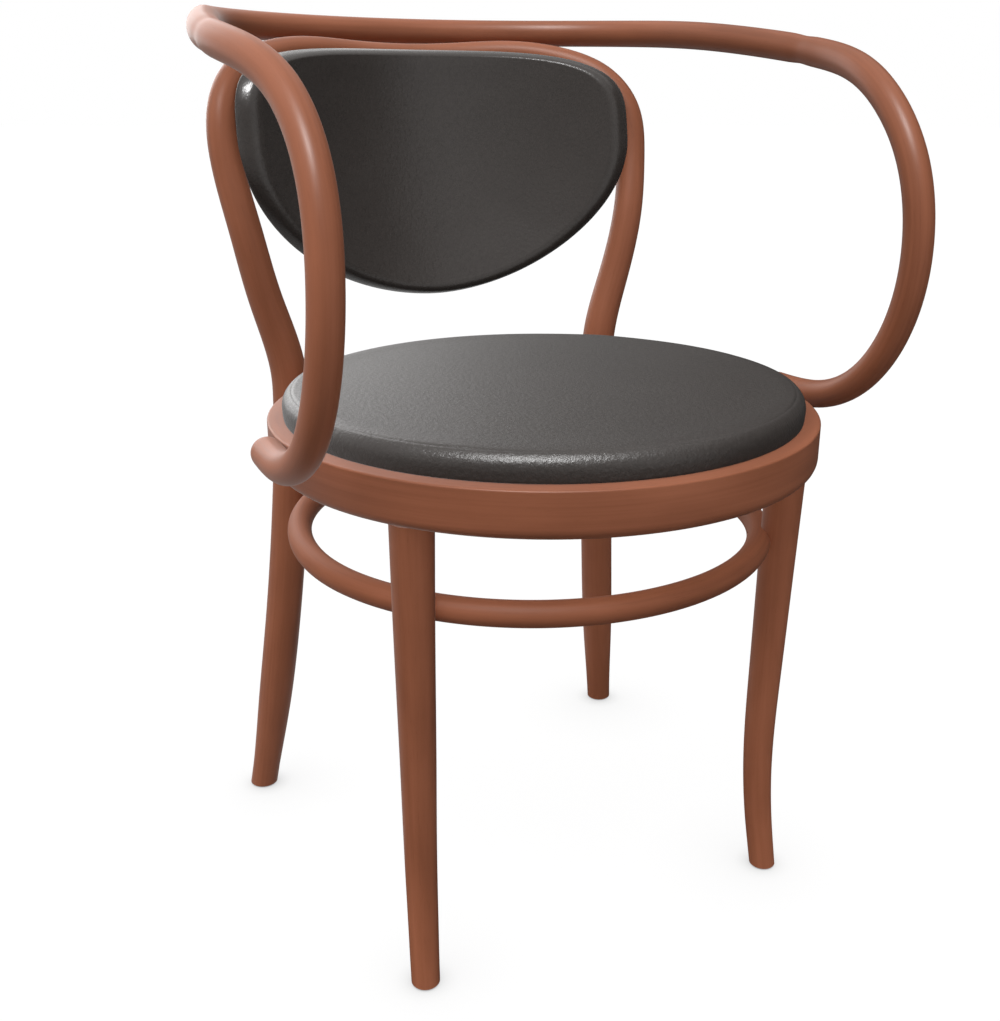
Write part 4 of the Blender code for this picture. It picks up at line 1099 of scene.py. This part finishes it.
# %% Floor
FLOOR_GREY, FLOOR_WHITE = (0.28, 0.28, 0.28, 1.0), (0.10, 0.10, 0.10, 1.0)
FLOOR_RADIUS, FLOOR_SIDES = 30.0, 96
GLOW_SEEN, GLOW_MIRRORED = 0.915, 0.25
CONTACTS = [(0.100, 0.30), (0.016, 0.20)]


def ray_kinds(tree):
    """One for rays from the camera, and one for those that gloss and glass send on, else zero."""
    rays = add(tree, "ShaderNodeLightPath").outputs
    return rays["Is Camera Ray"], math(tree, "MAXIMUM", rays["Is Glossy Ray"], rays["Is Transmission Ray"])


def floor():
    """A wide disc: grey for the light it sends up to the chair, white where it is seen. Its glow fades at a
    foot by the share of open sky within a reach, raised to a power: once wide and faint, once close."""
    made, tree, shader = finish("floor_white")
    tree.nodes.remove(shader)
    seen, mirrored = ray_kinds(tree)
    grey = add(tree, "ShaderNodeBsdfDiffuse", {"Color": FLOOR_GREY})
    white = add(tree, "ShaderNodeBsdfDiffuse", {"Color": FLOOR_WHITE})
    matt = add(tree, "ShaderNodeMixShader", {0: seen, 1: grey.outputs[0], 2: white.outputs[0]})
    lit = math(tree, "MULTIPLY", seen, GLOW_SEEN)
    for reach, power in CONTACTS:
        open_sky = add(tree, "ShaderNodeAmbientOcclusion", {"Distance": reach}, samples=16).outputs["AO"]
        lit = math(tree, "MULTIPLY", lit, math(tree, "POWER", open_sky, power))
    level = math(tree, "MULTIPLY_ADD", mirrored, GLOW_MIRRORED, lit)
    glow = add(tree, "ShaderNodeEmission", {"Strength": level})
    both = add(tree, "ShaderNodeAddShader", {0: matt.outputs[0], 1: glow.outputs[0]})
    tree.links.new(both.outputs[0], tree.nodes["Material Output"].inputs["Surface"])
    disc = mesh_of("floor", FLOOR_RADIUS * circle(FLOOR_SIDES), [list(range(FLOOR_SIDES))], made)
    placed("floor", disc)


floor()
print("floor glow", GLOW_SEEN)

# %% [markdown]
# ## Surround and cards
# Lacquer and leather are mostly what they mirror. The surround is white, and curved cards stand round the
# chair as in a studio: dark on the right, paler towards the window, and a pale one in front for the back
# pad. They show in reflections alone, so they change no other light.

# %% Surround
WORLD_LEVEL = 0.39


def surround():
    """White for the camera and in reflections, a softer level for the light that falls on the chair."""
    world = bpy.data.worlds.new("surround")
    scene.world = world
    world.use_nodes = True
    tree = world.node_tree
    tree.nodes.clear()
    seen = math(tree, "MAXIMUM", *ray_kinds(tree))
    level = math(tree, "MULTIPLY_ADD", seen, 1.0 - WORLD_LEVEL, WORLD_LEVEL)
    sky = add(tree, "ShaderNodeBackground", {"Color": (1.0, 1.0, 1.0, 1.0), "Strength": level})
    out = add(tree, "ShaderNodeOutputWorld")
    tree.links.new(sky.outputs[0], out.inputs["Surface"])


surround()
print("surround", WORLD_LEVEL)

# %% Cards
SCREEN_SPAN, SCREEN_RADIUS, SCREEN_LOW, SCREEN_HIGH = (-54.0, 76.0), 1.5, 0.002, 1.8
CARD_SPAN, CARD_STEPS = (-150.0, -54.0), 40
CARD_FADE = [(0.0, (0.42,) * 3), (0.40, (0.45,) * 3), (0.75, (0.88,) * 3), (1.0, (1.0,) * 3)]
MAT_SPAN, MAT_RADIUS = (-190.0, 57.0), 0.05
SCREEN_UPWARD = {"From Min": 0.45, "From Max": 0.90, "To Min": 0.4, "To Max": 1.0}
SCREEN_FADE = [(40.0, 0.12), (51.0, 0.31), (55.0, 0.34), (61.0, 0.48), (66.6, 0.72), (70.0, 1.0), (76.0, 1.5)]


def stand(name, made, rows):
    """Put a grid of points up as a card that shows in reflections alone."""
    faces = grid_faces(*rows.shape[:2], False, False).tolist()
    stood = placed(name, mesh_of(name, rows.reshape(-1, 3), faces, made))
    stood.visible_camera = stood.visible_diffuse = stood.visible_shadow = stood.visible_transmission = False


def arcs(span, radii, heights):
    """Arcs about the chair's upright axis, one row for each pair of radius and height."""
    around = np.radians(np.linspace(*span, CARD_STEPS))[None, :]
    radius, height = np.array(radii)[:, None], np.array(heights)[:, None]
    return np.stack([radius * np.cos(around), radius * np.sin(around), height + 0 * around], axis=2)


def glowing(name, first, last, stops):
    """A finish that only glows, with a fade that runs round the chair between two angles in degrees."""
    made, tree, shader = finish(name)
    place = add(tree, "ShaderNodeTexCoord").outputs["Object"]
    x, y, z = add(tree, "ShaderNodeSeparateXYZ", {0: place}).outputs
    feeds = {"Value": math(tree, "ARCTAN2", y, x)}
    feeds["From Min"], feeds["From Max"] = np.radians((first, last))
    share = add(tree, "ShaderNodeMapRange", feeds).outputs["Result"]
    feed(tree, shader, Base_Color=(0.0, 0.0, 0.0, 1.0), Specular_IOR_Level=0.0, Emission_Strength=1.0,
         Emission_Color=ramp(tree, share, stops))
    return made, tree, shader, z


def dark_screen():
    """A curved wall and a mat: dark on the right, and paler towards the window behind and higher up. A ramp
    holds 1 at most, so it holds half the level and the strength doubles it."""
    first, last = SCREEN_FADE[0][0], SCREEN_FADE[-1][0]
    stops = [((degrees - first) / (last - first), (level / 2,) * 3) for degrees, level in SCREEN_FADE]
    made, tree, shader, z = glowing("screen_dark", first, last, stops)
    upward = add(tree, "ShaderNodeMapRange", {"Value": z, **SCREEN_UPWARD}).outputs["Result"]
    feed(tree, shader, Emission_Strength=math(tree, "MULTIPLY", upward, 2.0))
    stand("dark_screen", made, arcs(SCREEN_SPAN, (SCREEN_RADIUS, SCREEN_RADIUS), (SCREEN_LOW, SCREEN_HIGH)))
    stand("dark_mat", made, arcs(MAT_SPAN, (MAT_RADIUS, SCREEN_RADIUS), (SCREEN_LOW, SCREEN_LOW)))


def pale_card():
    """A card in front, brighter towards the right, which the back pad mirrors."""
    made = glowing("card_pale", *CARD_SPAN, CARD_FADE)[0]
    stand("pale_card", made, arcs(CARD_SPAN, (SCREEN_RADIUS, SCREEN_RADIUS), (SCREEN_LOW, SCREEN_HIGH)))


dark_screen()
pale_card()
print("screen over", SCREEN_SPAN, "degrees, card over", CARD_SPAN)

# %% [markdown]
# ## Lamps
# A key from the front left, a broad fill from the left, a soft sky and a window behind on the left, which
# gives the pale edge light. Shadows in the picture are very faint, so the key is split: most of it casts
# none, a small share does, and a third lamp only adds to its highlight.

# %% Lamps
KEY_WAY, KEY_SOFT = (-125.0, 59.0), 14.0
LAMPS = [("key", 1.33, KEY_WAY, KEY_SOFT, False, None), ("shade", 0.22, KEY_WAY, KEY_SOFT, True, None),
         ("gloss", 3.8, KEY_WAY, KEY_SOFT, True, "visible_diffuse"),
         ("fill", 0.82, (167.0, 50.0), 60.0, False, "visible_glossy"),
         ("sky", 0.50, (90.0, 88.0), 90.0, False, "visible_glossy")]
WINDOW_PLACE, WINDOW_SIZE, WINDOW_POWER = (-0.434, 2.462, 1.5), (1.7, 1.9), 26.0
AIM_AT, LAMP_AWAY = Vector((0.0, 0.0, 0.45)), 3.0


def hang(light, place):
    """Put a lamp where it belongs, turned to the middle of the chair and not seen itself."""
    hung = placed(light.name, light)
    hung.location = place
    hung.rotation_euler = (AIM_AT - Vector(place)).to_track_quat("-Z", "Y").to_euler()
    hung.visible_camera = False
    return hung


def overhead(name, strength, way, soft, shadow):
    """A far lamp at a turn and a rise in degrees, as wide as its softness in degrees."""
    light = bpy.data.lights.new(name, "SUN")
    light.energy, light.angle, light.use_shadow = strength, np.radians(soft), shadow
    turn, rise = np.radians(way)
    way = np.array((np.cos(rise) * np.cos(turn), np.cos(rise) * np.sin(turn), np.sin(rise)))
    return hang(light, (LAMP_AWAY * way + np.array(AIM_AT)).tolist())


for *lamp, hidden in LAMPS:
    hung = overhead(*lamp)
    if hidden:
        setattr(hung, hidden, False)
window = bpy.data.lights.new("window", "AREA")
window.shape = "RECTANGLE"
window.size, window.size_y = WINDOW_SIZE
window.energy = WINDOW_POWER
hang(window, WINDOW_PLACE).visible_diffuse = False
print(len(LAMPS), "far lamps and a window of", WINDOW_POWER, "W")

# %% [markdown]
# ## Reflections of the chair
# The studio's cards and lamps give all reflections, so the chair's own parts are left out of them: a pad
# then shows the soft fade of the window and no dark double of the back.

# %% Chair out of reflections
for part in scene.objects:
    if part.type == "MESH" and part.name not in ("floor", "dark_screen", "dark_mat", "pale_card"):
        part.visible_glossy = False
